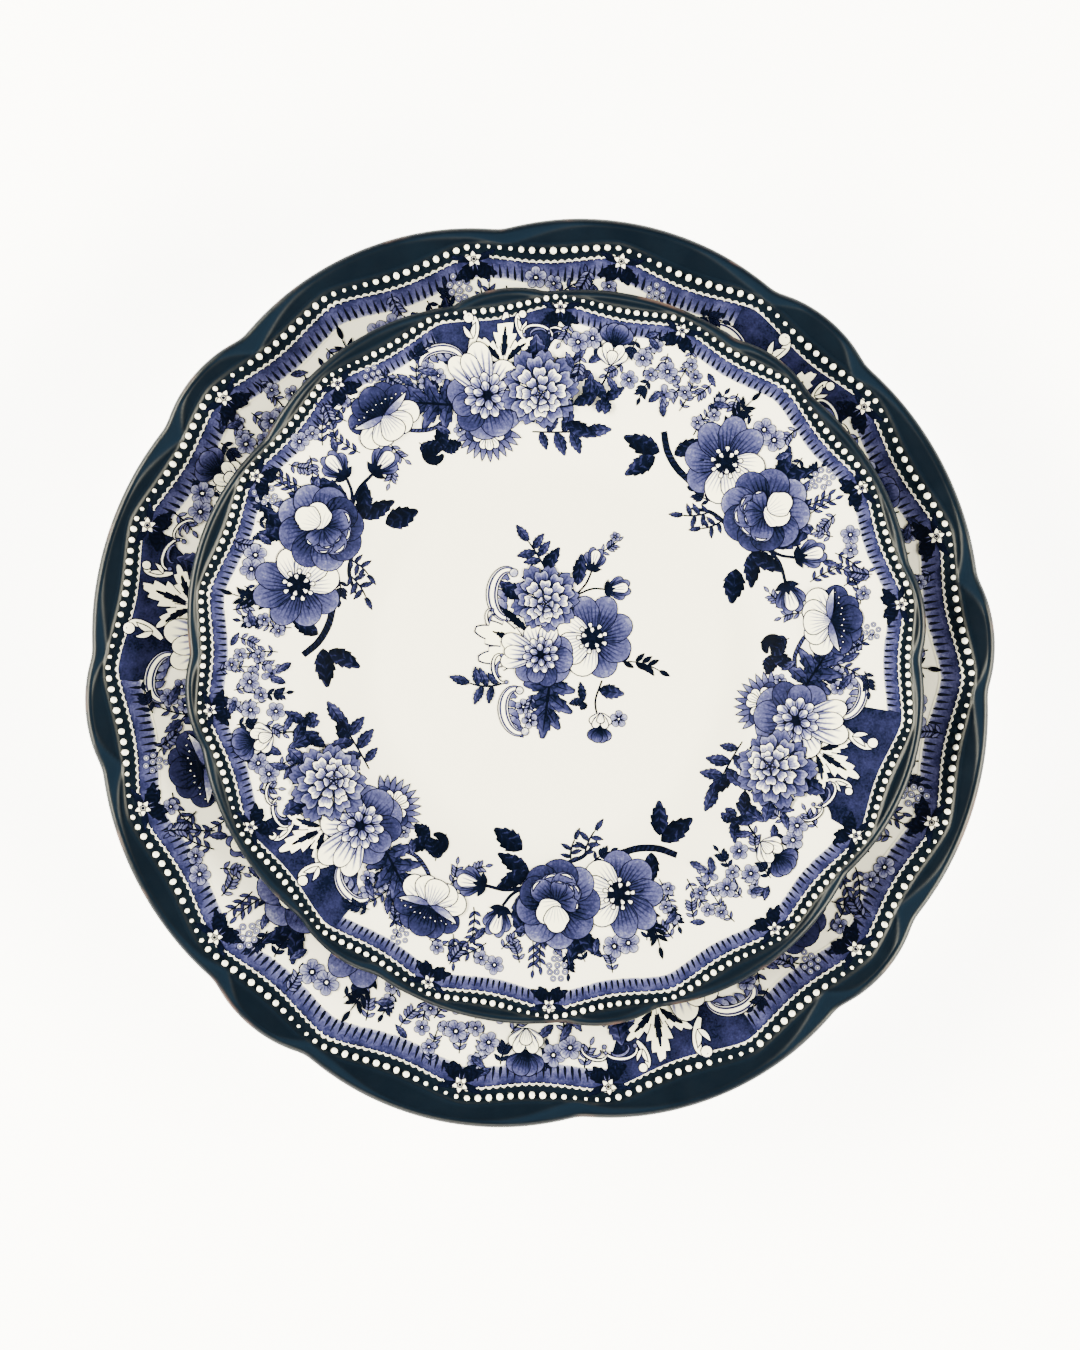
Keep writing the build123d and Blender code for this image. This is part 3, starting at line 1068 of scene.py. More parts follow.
def bud(pen, size=5.0):
    """A closed bud along +Y with striped petals in a dark calyx, and a ruff of small leaves."""
    petals(pen, size, ((30.4, 1.1, 0.55), (-30.4, 1.1, 0.55), (11.2, 1.35, 0.55), (-11.2, 1.35, 0.55)),
           (DEEP, PALE), streaks=4, strength=0.35)
    petals(pen, size, ((0, 1.1, 0.62),), (0.3, WHITE), (0, 0.12), streaks=6, strength=0.4, power=0.3)
    for turn in (50, -50, 22, -22, 0):
        with pen.at(0, -0.12 * size, turn):
            blade(pen, 0.62 * size, 0.28 * size, (BLACK, DEEP), bend=-turn * 0.5, rows=6)


def floret(pen, size=2.4):
    """A five-petalled little flower with a ring for its eye."""
    with pen.finer(1.5):
        with pen.flat(size):
            petals(pen, size, [(72 * step, 1.0, 0.92) for step in range(5)], (0.55, 0.24), frill=0.10,
                   waves=2, streaks=3, strength=0.2, belly=0.5, count=18, power=0.6)
        dot(pen, 0, 0, 0.30 * size, DEEP, 10)
        dot(pen, 0, 0, 0.19 * size, WHITE, 8)


def cross_flower(pen, size=2.4):
    """A four-petalled flower."""
    with pen.finer(1.5), pen.flat(size):
        petals(pen, size, [(90 * step + 20, 1.0, 0.72) for step in range(4)], (0.5, 0.24), frill=0.05,
               waves=2, streaks=3, count=16)
    dot(pen, 0, 0, 0.16 * size, BLACK, 8)


def berries(pen, size=4.0, rows=(2, 3, 3, 2, 1)):
    """A hanging bunch of round berries, each drawn as a ring."""
    gap = size * 0.46
    with pen.finer(1.8):
        for row, count in enumerate(rows):
            for step in range(count):
                x = (step - (count - 1) / 2) * gap + 0.2 * math.sin(5.0 * row + 2.0 * step)
                y = (1.6 - row * 0.92) * gap
                dot(pen, x, y, gap * 0.48, 0.30, 10)
                dot(pen, x, y, gap * 0.20, WHITE, 7)


def leaf(pen, long=8.0, wide=4.0, tone=(BLACK, DEEP), bend=0.0):
    """A toothed leaf with a dark half and a midrib."""
    blade(pen, long, wide, tone, bend, teeth=5, cut=0.24, veins=4, strength=-0.16, halves=0.13, cols=6)
    blade(pen, long * 0.9, 0.07 * wide, (MIDDLE, PALE), bend * 0.9, rows=8, cols=2)


def leaves(pen, long=8.0, wide=4.0, turns=(-46, 0, 46), tone=(BLACK, DEEP)):
    """A few toothed leaves from one foot."""
    for turn in turns:
        with pen.at(0, 0, turn):
            leaf(pen, long * (1 - abs(turn) / 300), wide, tone, bend=-turn * 0.35)


def big_leaf(pen, long=15.0, tone=(0.80, 0.50)):
    """A broad leaf cut into lobes along its spine, each lobe toothed."""
    blade(pen, 0.9 * long, 0.44 * long, tone, teeth=5, cut=0.25, veins=5, strength=0.14)
    for share, turn, reach in ((0.10, 66, 0.46), (0.10, -66, 0.46), (0.30, 50, 0.52), (0.30, -50, 0.52),
                               (0.52, 32, 0.44), (0.52, -32, 0.44), (0.62, 0, 0.44)):
        with pen.at(0, share * long, turn):
            blade(pen, reach * long, 0.29 * long, tone, bend=-turn * 0.4, teeth=3, cut=0.28, veins=3,
                  strength=0.12, halves=0.12, cols=4)
            blade(pen, 0.8 * reach * long, 0.022 * long, (BLACK, DEEP), bend=-turn * 0.3, rows=6, cols=2)
    blade(pen, 0.85 * long, 0.045 * long, (BLACK, BLACK), rows=8, cols=2)


def dark_curl(pen, size=8.0):
    """A black acanthus curl: three toothed leaves on a short hook."""
    angle = np.radians(np.linspace(-20, -200, 30))[:, None]
    hook = size * (np.array((-0.24, 0.0)) + 0.26 * np.hstack([np.cos(angle), np.sin(angle)]))
    stroke(pen, hook, 0.28 * size, BLACK, thin=0.2, already=True)
    leaves(pen, 0.74 * size, 0.50 * size, (-62, 0, 62), (BLACK, BLACK))


def stalk_line(long, bend):
    """Eight points of a stalk along +Y that bends by degrees."""
    turn = np.radians(bend) * np.linspace(0, 1, 8)
    line = np.column_stack((np.cumsum(np.sin(turn)), np.cumsum(np.cos(turn)))) * long / 8
    return line - line[0]


def sprig(pen, long=9.0, pairs=3, leaf_long=2.6, leaf_wide=1.0, tone=MIDDLE, bend=20.0, spread=42.0,
          stem=DEEP):
    """A thin stalk along +Y with pairs of lens-shaped leaves and one at its tip."""
    line = stalk_line(long, bend)
    stroke(pen, line, 0.34, stem, thin=0.8, cols=2)
    for pair in range(pairs + 1):
        at = line[min(7, 1 + round(6 * pair / pairs))]
        lean = bend * (pair / pairs)
        for side in ((-1, 1) if pair < pairs else (0,)):
            with pen.at(*at, spread * side - lean):
                blade(pen, leaf_long, leaf_wide, (tone, tone), rows=7, fullness=0.9)


def berry_sprig(pen, long=8.0, florets=2, size=2.0, bend=25.0):
    """A stalk with little leaves and small round flowers along it."""
    sprig(pen, long, 4, 2.0, 0.8, PALE, bend, 50)
    for step in range(florets):
        share = (step + 1) / florets
        with pen.at(math.sin(math.radians(bend * share)) * long * share * 0.8 + (0.9 if step % 2 else -0.9),
                    long * share * 0.9, 30 * step):
            floret(pen, size * 0.85)


def star(pen, size=3.0):
    """A white five-petalled flower on the ribbon, with dark leaves below it and one to each side."""
    for turn in (90, -90):
        with pen.at(0, 0, turn):
            blade(pen, 2.6 * size, 0.9 * size, (BLACK, DEEP), bend=turn * 0.30, teeth=3, cut=0.25)
    for turn, long in ((140, 2.9), (-140, 2.9), (164, 2.5), (-164, 2.5)):
        with pen.at(0, -0.3 * size, turn):
            blade(pen, long * size, 1.5 * size, (BLACK, DEEP), bend=turn * 0.20, teeth=4, cut=0.25, veins=4)
    for turn in (150, -150):
        with pen.at(0, -0.2 * size, turn):
            blade(pen, 1.6 * size, 0.28 * size, (WHITE, WHITE), bend=-turn * 0.25, rows=6)
    with pen.flat(size):
        for step in range(5):
            with pen.at(0, 0, 72 * step):
                blade(pen, size, 0.75 * size, (WHITE, WHITE), rows=8, fullness=0.75, stalk=0.10)
    dot(pen, 0, 0, 0.36 * size, WHITE, 12)
    dot(pen, 0, 0, 0.20 * size, DEEP, 8)
    dot(pen, 0, 0, 0.10 * size, PALE, 6)


def fluted_scroll(pen, size=12.0):
    """A big C-scroll, curled at both ends, white on its back, with blue fingers curling off its inside."""
    line = curl(2.0 * size, 120, 150, 60)
    for share, turn, long in ((0.30, -42, 0.62), (0.40, -52, 0.58), (0.50, -62, 0.54), (0.60, -74, 0.48),
                              (0.70, -88, 0.42)):
        with pen.at(*line[int(share * 59)], turn + 118):
            blade(pen, long * size, 0.22 * size, (0.15, MIDDLE), bend=-118, fullness=1.1, stalk=0.5, rows=12)
    stroke(pen, line, 0.33 * size, WHITE, thin=0.42, flutes=1.0, already=True, cols=6)
    for end in (line[0], line[-1]):
        dot(pen, *end, 0.13 * size, 0.2, 12)


def small_scroll(pen, size=7.0):
    """A thin outlined C-scroll with a second curl inside it."""
    line = curl(1.9 * size, 100, 170, 44)
    stroke(pen, line, 0.22 * size, WHITE, thin=0.4, flutes=1.0, already=True, cols=4)
    with pen.at(-0.16 * size, 0.05 * size, 20):
        stroke(pen, curl(1.1 * size, 120, 160, 30), 0.16 * size, PALE, thin=0.4, already=True, cols=4)
    for end in (line[0], line[-1]):
        dot(pen, *end, 0.11 * size, PALE, 10)


def acanthus(pen, size=11.0):
    """A jagged white leaf left bare in the dark ground, with a dark cleft, between two hooked tendrils."""
    for turn, long, wide in ((0, 1.0, 0.58), (38, 0.76, 0.44), (-34, 0.80, 0.44)):
        with pen.at(0, 0, turn):
            blade(pen, long * size, wide * size, (WHITE, WHITE), bend=-turn * 0.6, teeth=5, cut=0.42, cols=4)
            with pen.at(0, 0.1 * size):
                blade(pen, 0.62 * long * size, 0.16 * size, (BLACK, DEEP), bend=-turn * 0.6, teeth=4, cut=0.4)


def hook(pen, size=7.0):
    """A white tendril that curls over at its end, with a forked foot."""
    line = curl(1.7 * size, 60, 200, 40, 4.0)[10:]
    stroke(pen, line, 0.30 * size, WHITE, thin=0.55, already=True, cols=4)
    dot(pen, *line[-1], 0.20 * size, WHITE, 12)
    for turn in (30, 75):
        with pen.at(*line[8], turn):
            blade(pen, 0.60 * size, 0.22 * size, (WHITE, WHITE), bend=40, rows=7)


def spray(pen, long=11.0, bend=40.0, leaf_long=5.0, leaf_wide=2.6, tone=(DEEP, 0.66)):
    """A thin stalk with toothed leaves along both of its sides and small buds between them."""
    line = stalk_line(long, bend)
    stroke(pen, line, 0.45, DEEP, thin=0.7, cols=2)
    places = ((0.2, -1, 0.75), (0.3, 1, 0.9), (0.5, -1, 1.0), (0.65, 1, 1.0), (0.85, -1, 0.95),
              (1.0, 0, 1.05))
    for step, (share, side, grown) in enumerate(places):
        with pen.at(*line[int(share * 7)], 58 * side - bend * share):
            leaf(pen, leaf_long * grown, leaf_wide * grown, tone, bend=-18 * side)
            if step % 2:
                with pen.at(0.6, 0.2, 40):
                    blade(pen, 1.5, 0.7, (DEEP, MIDDLE), rows=6)


# ------------------------------------------------------------------ where the print's parts lie

def border(pen, start):
    """One third of the border, anticlockwise from a star: a dark cartouche and a plain stretch of ribbon,
    with their flowers. Places are degrees from that star and parts of the plate's radius. What is drawn
    later lies on top."""
    rim = pen.plate.rim
    size = FLOWER_SIZE * (rim / DRAWN_RIM) ** FLOWER_GROWTH
    shift = np.array(pen.plate.print_shift)

    def put(shape, angle, part, turn=0.0, *values, flip=False, **named):
        """Draws a shape at degrees from the star and a part of the plate's radius."""
        with pen.at(*shift), pen.on_rim(start + angle, part, turn, size, flip):
            shape(pen, *values, **named)

    def vine(spots, width, tone=DEEP, rope=0.0, thin=0.6):
        """Draws a stalk through spots."""
        around, out = np.radians(start + np.array(spots)[:, 0]), rim * np.array(spots)[:, 1]
        line = np.column_stack(polar(out, around)) + shift
        stroke(pen, line, width * size, tone, thin=thin, rope=rope, cols=2)

    cartouche(pen, start)
    put(acanthus, 9.8, 0.775, -12, 12.5)
    put(hook, 14.2, 0.865, -30, 7.0)
    put(hook, 6.0, 0.865, 15, 5.5, flip=True)
    put(small_scroll, 2.6, 0.872, 80, 5.4)
    put(small_scroll, -1.6, 0.862, 65, 4.2)
    put(fluted_scroll, 21.0, 0.862, 78, 7.6)

    for angle, part, turn, bend in ((27.5, 0.775, -6, 25), (30.0, 0.80, 18, -20), (38.6, 0.855, 75, -40),
                                    (44.8, 0.735, 25, 20), (46.5, 0.80, -20, 25), (42.5, 0.82, 25, 10),
                                    (49.0, 0.82, -40, 20), (57.8, 0.80, 12, 15), (59.6, 0.79, -14, -20)):
        put(sprig, angle, part, turn, 7.5, 3, 2.3, 0.95, MIDDLE, bend)
    for angle, part, turn, bend in (
            (23.0, 0.74, 40, 20), (26.5, 0.86, -60, 25), (31.5, 0.86, 190, -30), (33.0, 0.66, 200, 20),
            (41.0, 0.66, 150, 30), (43.5, 0.90, 170, 20), (47.8, 0.74, 60, -20), (52.0, 0.83, 150, 25),
            (55.6, 0.86, 190, -25), (58.6, 0.74, 40, 30), (67.5, 0.86, 200, 20), (72.0, 0.90, 170, -25),
            (72.6, 0.60, 120, 20), (79.4, 0.84, 160, 25), (84.0, 0.86, 190, -20), (85.5, 0.78, 20, 25),
            (89.0, 0.84, 170, 20), (93.5, 0.80, 150, -25), (98.6, 0.86, 190, 20), (100.0, 0.78, 160, -20),
            (104.8, 0.87, 180, 25), (106.0, 0.80, 150, 20), (111.4, 0.88, 160, -25), (114.6, 0.80, 190, 20),
            (117.0, 0.88, 170, 20), (64.0, 0.83, 20, 25), (29.0, 0.73, -30, -25), (38.5, 0.70, 170, -25)):
        put(sprig, angle, part, turn, 5.6, 4, 2.1, 1.0, PALE if turn % 20 else DEEP, bend, 48, BLACK)
    put(sprig, 81.3, 0.755, 10, 11.0, 4, 3.2, 1.15, BLACK, 18)
    put(berry_sprig, 86.4, 0.70, 8, 10.5, 3, 1.9, 22)
    put(berry_sprig, 91.8, 0.735, -8, 9.5, 2, 2.0, -20)
    put(berry_sprig, 95.0, 0.90, 196, 8.5, 2, 1.9, 20)
    put(berry_sprig, 101.4, 0.905, 168, 10.5, 3, 2.0, -18)
    for angle, part, turn, grown in (
            (24.4, 0.822, 0, 2.0), (22.8, 0.795, 20, 1.8), (25.8, 0.79, 30, 1.7), (40.5, 0.868, 10, 1.7),
            (51.2, 0.874, 0, 2.3), (48.6, 0.862, 30, 1.8), (97.4, 0.815, 0, 2.4), (102.7, 0.825, 20, 2.2),
            (104.0, 0.760, 0, 2.2), (112.6, 0.846, 0, 2.5), (115.2, 0.832, 25, 2.5), (73.3, 0.832, 0, 2.7),
            (76.0, 0.832, 30, 2.7), (20.4, 0.618, 0, 1.7), (22.8, 0.640, 0, 1.6)):
        put(floret, angle, part, turn, grown)
    put(cross_flower, 96.2, 0.755, 0, 2.5)
    put(berries, 62.4, 0.868, 0, 3.6)
    put(berries, 33.8, 0.868, -15, 3.2, (2, 3, 2, 1))

    vine(((108.4, 0.775), (109.4, 0.725), (113.0, 0.675), (118.0, 0.655)), 0.55)
    vine(((34.6, 0.715), (32.0, 0.690), (28.6, 0.674), (25.5, 0.680)), 1.1, MIDDLE, 0.9)
    vine(((46.2, 0.672), (51.0, 0.672), (56.0, 0.655), (59.0, 0.650)), 0.85, DEEP, 1.0, 0.9)
    vine(((50.8, 0.715), (52.6, 0.680), (56.0, 0.655), (59.0, 0.650)), 0.75, DEEP, 1.0, 0.9)
    vine(((80.0, 0.598), (85.0, 0.604), (89.5, 0.628), (92.6, 0.668)), 1.7, DEEP, 0.7, 0.9)
    vine(((62.0, 0.600), (66.0, 0.592), (70.5, 0.580), (75.0, 0.548)), 1.0, DEEP, 0.9, 0.5)

    put(spray, 5.0, 0.592, -97, 14.5, -6.0, 6.0, 3.5)
    put(spray, 70.5, 0.585, 165, 8.0, 30.0, 3.4, 1.6)
    put(spray, 67.0, 0.600, 190, 7.0, 40.0, 3.0, 1.4)
    put(dark_curl, 29.0, 0.610, -25, 8.4)
    put(big_leaf, 21.6, 0.705, 66, 13.5)
    put(leaf, 111.2, 0.665, 6, 8.0, 4.4, (BLACK, 0.62))
    put(leaves, 107.9, 0.690, 0, 6.4, 3.2, (-38, 36, 142, -142), (BLACK, 0.66))
    put(leaf, 116.4, 0.615, -108, 8.2, 4.2)
    put(leaf, 114.8, 0.665, -58, 6.0, 3.4)
    put(leaf, 54.8, 0.672, 2, 10.5, 5.4, (BLACK, DEEP))
    put(leaves, 56.0, 0.615, -84, 9.5, 4.6, (-26, 22), (BLACK, BLACK))
    put(leaf, 53.6, 0.560, -120, 8.5, 6.0, (BLACK, BLACK))
    put(leaves, 66.8, 0.770, 4, 9.5, 4.2, (-20, 26), (BLACK, DEEP))
    put(leaf, 87.6, 0.628, -28, 7.5, 4.4, (BLACK, DEEP))
    put(leaf, 91.0, 0.615, 96, 9.4, 5.6, (BLACK, BLACK))
    put(leaf, 91.5, 0.600, 150, 8.4, 5.0, (BLACK, DEEP))
    for angle, part, turn, long in (
            (28.0, 0.80, 30, 4.6), (31.0, 0.74, 60, 4.2), (42.5, 0.74, -60, 4.6), (48.2, 0.78, -30, 4.2),
            (57.5, 0.76, -70, 4.6), (70.5, 0.80, -20, 4.4), (83.8, 0.71, -40, 4.6), (86.8, 0.80, -70, 4.2),
            (90.6, 0.86, -120, 3.8), (94.2, 0.70, 30, 4.4), (98.6, 0.72, -30, 4.4), (100.4, 0.86, 60, 4.0),
            (105.6, 0.72, 50, 4.6), (103.6, 0.88, -60, 3.8), (112.8, 0.78, -50, 4.8), (115.6, 0.76, 30, 4.4),
            (-4.2, 0.78, -40, 4.6), (22.6, 0.80, 60, 4.8), (25.2, 0.64, 40, 4.4), (61.8, 0.80, 30, 4.2)):
        put(leaf, angle, part, turn, long, 0.5 * long, (DEEP, 0.50))
    put(leaf, 3.0, 0.775, 0, 6.6, 5.0, (BLACK, MIDDLE))
    put(leaf, -3.6, 0.735, -70, 5.5, 3.8, (DEEP, MIDDLE))

    put(tulip, 108.4, 0.832, 0, 5.6)
    put(bud, 45.6, 0.672, -88, 5.4)
    put(bud, 50.7, 0.722, -8, 5.2)
    put(carnation, 16.6, 0.595, -12, 6.4)
    put(poppy, 36.2, 0.772, 0, 9.2)
    put(peony, 14.4, 0.705, 10, 9.6)
    put(dahlia, 2.6, 0.705, 0, 9.2)
    put(anemone, 76.8, 0.700, 0, 9.8, flip=True)
    put(cabbage_rose, 62.8, 0.697, -8, 10.2)
    for angle in STARS:
        with pen.on_rim(start + angle, STAR_PLACE[pen.plate.name], 0, size):
            star(pen, 1.9)


def cartouche(pen, start):
    """The dark mottled ground that covers the ribbon beside a star."""
    plate = pen.plate
    across = np.linspace(0.3, CARTOUCHE, 84)
    down = np.linspace(0, 1, 10)[:, None]
    angle = np.radians(start + across)[None]
    outer = plate.line(angle) - 0.25
    dip = 0.088 * smooth(-1.0, 5.0, across) * smooth(24.0, 17.5, across) + 0.004 * np.cos(across * 2.1)
    inner = plate.rim * (0.880 - dip)[None]
    radius = outer + (inner - outer) * down
    tone = 0.72 + 0.10 * down + 0.05 * np.sin(across * 0.9)[None]
    pen.grid(*polar(radius, angle), 0.3, tone)


def ribbon(pen, steps=1440):
    """The mottled ribbon that fades to bare glaze inwards, and the white notched line outside it."""
    plate = pen.plate
    angle = (np.arange(steps) * FULL_TURN / steps)[None]
    down = np.linspace(0, 1, 10)[:, None]
    radius = plate.line(angle) - 0.2 - plate.ribbon * down
    tone = np.interp(down, (0, 0.12, 0.40, 0.55, 0.85, 1.0), (0.84, 0.60, 0.55, 0.48, 0.34, 0.0)) + 0 * angle
    tone = tone + 0.06 * np.sin(angle * 83.0) * (1 - down)
    pen.grid(*polar(radius, angle), 1.0, tone, closed=True)

    notches = round(FULL_TURN * plate.pearl_ring / LINE_PITCH)
    angle = (np.arange(notches * 4) * FULL_TURN / (notches * 4))[None]
    middle = plate.line(angle) + LINE_NOTCH * np.tile((-0.5, 0.2, 0.5, 0.2), notches)[None]
    half = 0.17 + 0.22 * smooth(0.5, 1.0, plate.wave(angle))
    radius = middle + half * np.linspace(-1, 1, 3)[:, None]
    pen.grid(*polar(radius, angle), 1.0, 0.13, closed=True)


def bouquet(pen):
    """The spray of flowers in the middle of the floor."""
    def put(shape, x, y, turn=0.0, *values, flip=False, **named):
        """Draws a shape at millimetres from the plate's middle."""
        with pen.at(x, y, turn, BOUQUET_SIZE, flip):
            shape(pen, *values, **named)

    put(fluted_scroll, -15.6, -16.4, 8, 8.0, flip=True)
    put(fluted_scroll, -19.0, 19.6, -4, 8.6, flip=True)
    put(small_scroll, -20.4, 10.4, 20, 4.4, flip=True)
    put(acanthus_outline, -9.0, 4.6, 76, 12.0)
    put(acanthus_outline, -9.0, 1.0, 96, 11.0)
    put(small_scroll, -18.6, -3.6, 10, 5.2, flip=True)
    put(sprig, 18.4, -1.6, -78, 11.5, 4, 3.0, 1.25, BLACK, 40)
    put(spray, -3.0, 26.4, 26, 8.4, -10.0, 4.6, 2.6)
    put(leaf, -3.4, 26.0, -34, 6.4, 3.6)
    put(spray, -16.0, -8.0, 112, 8.6, 40.0, 4.8, 2.5)
    for spots in (((6.4, 18.8), (9.2, 22.0), (11.0, 26.0)), ((6.0, 18.4), (11.0, 20.4), (15.6, 20.2)),
                  ((14.0, -7.0), (12.0, -13.0), (12.6, -18.0))):
        stroke(pen, spots, 0.6, DEEP, thin=0.8, rope=1.0, cols=2)
    put(berry_sprig, 13.2, 31.0, -62, 5.6, 1, 1.4, -10)
    put(bud, 11.0, 26.2, -14, 3.9)
    put(bud, 15.4, 20.2, -84, 4.2)
    put(leaf, 6.6, 21.4, -8, 7.4, 3.8, (DEEP, DEEP))
    put(leaf, -10.0, 17.4, 52, 6.4, 4.4)
    put(big_leaf, -1.4, -6.0, 172, 13.6)
    put(floret, -9.6, -15.0, 0, 1.9)
    put(floret, -7.6, -19.0, 20, 1.9)
    put(sprig, -7.0, -11.5, 170, 4.6, 2, 1.7, 0.8, PALE, 10)
    put(leaves, 8.4, -13.4, 0, 4.8, 2.4, (-170, 8, 84), (BLACK, DEEP))
    put(leaf, 13.0, -9.8, -100, 6.0, 4.0, (BLACK, MIDDLE))
    put(tulip, 13.4, -20.6, 176, 4.0)
    put(floret, 19.0, -18.6, 0, 2.0)
    put(anemone, 11.0, 5.6, 8, 9.2)
    put(peony, -4.4, 0.6, 78, 7.4)
    put(dahlia, -3.0, 17.6, 0, 7.8)


def acanthus_outline(pen, size=10.0):
    """A jagged leaf drawn only in outline, with a dark fringed cleft beside it."""
    with pen.finer(0.8):
        blade(pen, size, 0.7 * size, (WHITE, WHITE), teeth=4, cut=0.35)
    with pen.at(0.2 * size, 0.0, -28):
        blade(pen, 0.72 * size, 0.2 * size, (BLACK, BLACK), teeth=7, cut=0.4)


# ------------------------------------------------------------------ pearls and the ribbon's teeth

class NodeTree:
    """A Geometry Nodes tree being built, with named inputs."""

    def __init__(self, name, inputs):
        self.tree = bpy.data.node_groups.new(name, "GeometryNodeTree")
        self.tree.interface.new_socket("Geometry", in_out="INPUT", socket_type="NodeSocketGeometry")
        for label, kind, default in inputs:
            socket = self.tree.interface.new_socket(label, in_out="INPUT", socket_type="NodeSocket" + kind)
            if default is not None:
                socket.default_value = default
        self.tree.interface.new_socket("Geometry", in_out="OUTPUT", socket_type="NodeSocketGeometry")
        self.given = self.tree.nodes.new("NodeGroupInput")

    def node(self, kind, settings=None, values=None):
        """Adds a node: its settings first, then the values or links of its sockets, by name or number."""
        node = self.tree.nodes.new(kind)
        for setting, value in (settings or {}).items():
            setattr(node, setting, value)
        for label, value in (values or {}).items():
            if isinstance(label, int):
                socket = node.inputs[label]
            else:
                socket = next(s for s in node.inputs if s.name == label and s.enabled)
            if isinstance(value, bpy.types.NodeSocket):
                self.tree.links.new(value, socket)
            else:
                socket.default_value = value
        return next(s for s in node.outputs if s.enabled)

    def stored(self, name, kind):
        """A named attribute of the points."""
        return self.node("GeometryNodeInputNamedAttribute", {"data_type": kind}, {"Name": name})

    def sized(self, shape):
        """A shape, scaled by the tree's width, length and height."""
        given = self.given.outputs
        size = self.node("ShaderNodeCombineXYZ", {}, {
            "X": given["Width"], "Y": given["Length"], "Z": given["Height"]})
        return self.node("GeometryNodeTransform", {}, {"Geometry": shape, "Scale": size})

    def scatter(self, shape, smooth_faces):
        """One shape on each point: upright on its normal, facing outwards, as large as the point says."""
        given = self.given.outputs
        upright = self.node("FunctionNodeAlignRotationToVector", {"axis": "Z"},
                            {"Vector": self.stored("upwards", "FLOAT_VECTOR")})
        facing = self.node("FunctionNodeAlignRotationToVector", {"axis": "Y", "pivot_axis": "Z"},
                           {"Rotation": upright, "Vector": self.stored("outwards", "FLOAT_VECTOR")})
        uneven = self.node("FunctionNodeRandomValue", {"data_type": "FLOAT_VECTOR"}, {
            "Min": (0.90, 0.86, 0.92), "Max": (1.10, 1.14, 1.08), "Seed": given["Seed"]})
        scale = self.node("ShaderNodeVectorMath", {"operation": "SCALE"},
                          {"Vector": uneven, "Scale": self.stored("grown", "FLOAT")})
        placed = self.node("GeometryNodeInstanceOnPoints", {}, {
            "Points": given["Geometry"], "Instance": shape, "Rotation": facing, "Scale": scale})
        real = self.node("GeometryNodeRealizeInstances", {}, {"Geometry": placed})
        shaded = self.node(
            "GeometryNodeSetShadeSmooth", {}, {"Geometry": real, "Shade Smooth": smooth_faces})
        finished = self.node(
            "GeometryNodeSetMaterial", {}, {"Geometry": shaded, "Material": given["Material"]})
        out = self.tree.nodes.new("NodeGroupOutput")
        self.tree.links.new(finished, out.inputs[0])
        return self.tree


REPEAT_INPUTS = (("Width", "Float", 0.001), ("Length", "Float", 0.001), ("Height", "Float", 0.001),
                 ("Seed", "Int", 7), ("Material", "Material", None))


def pearl_tree():
    """Round enamel drops on points."""
    tree = NodeTree("enamel_pearls", REPEAT_INPUTS)
    ball = tree.node("GeometryNodeMeshUVSphere", {}, {"Segments": 12, "Rings": 6, "Radius": 0.5})
    return tree.scatter(tree.sized(ball), True)


def tooth_tree():
    """Flat drops of ink on points, pointed outwards."""
    tree = NodeTree("ribbon_teeth", REPEAT_INPUTS)
    disc = tree.node("GeometryNodeMeshCircle", {"fill_type": "TRIANGLE_FAN"}, {"Vertices": 10, "Radius": 0.5})
    spot = tree.node("GeometryNodeInputPosition")
    parts = tree.node("ShaderNodeSeparateXYZ", {}, {0: spot}).node.outputs
    narrowing = tree.node("ShaderNodeMath", {"operation": "MULTIPLY_ADD"}, {0: parts["Y"], 1: -0.95, 2: 0.62})
    across = tree.node("ShaderNodeMath", {"operation": "MULTIPLY"}, {0: parts["X"], 1: narrowing})
    pointed = tree.node("ShaderNodeCombineXYZ", {}, {"X": across, "Y": parts["Y"]})
    drop = tree.node("GeometryNodeSetPosition", {}, {"Geometry": disc, "Position": pointed})
    return tree.scatter(tree.sized(drop), False)


def repeated(name, plate, tree, angle, radius, lift, grown, values):
    """A piece made of one shape for each angle, on the glaze of a plate."""
    x, y = polar(radius, angle)
    spots = np.column_stack((x, y, plate.top(x, y) + lift))
    mesh = bpy.data.meshes.new(name)
    mesh.from_pydata(((spots + plate.middle) * MM).tolist(), [], [])
    upwards = plate.steepness(x, y)
    outwards = np.column_stack((np.cos(angle), np.sin(angle), 0 * angle))
    for label, kind, field, data in (("upwards", "FLOAT_VECTOR", "vector", upwards),
                                     ("outwards", "FLOAT_VECTOR", "vector", outwards),
                                     ("grown", "FLOAT", "value", grown)):
        stored = mesh.attributes.new(label, kind, "POINT")
        stored.data.foreach_set(field, np.asarray(data, np.float32).ravel())
    piece = bpy.data.objects.new(name, mesh)
    bpy.context.scene.collection.objects.link(piece)
    modifier = piece.modifiers.new("repeat", "NODES")
    modifier.node_group = tree
    for item in tree.interface.items_tree:
        if item.item_type == "SOCKET" and item.in_out == "INPUT" and item.name in values:
            modifier[item.identifier] = values[item.name]
    return evaluated_mesh(piece, name)


# ------------------------------------------------------------------ operators

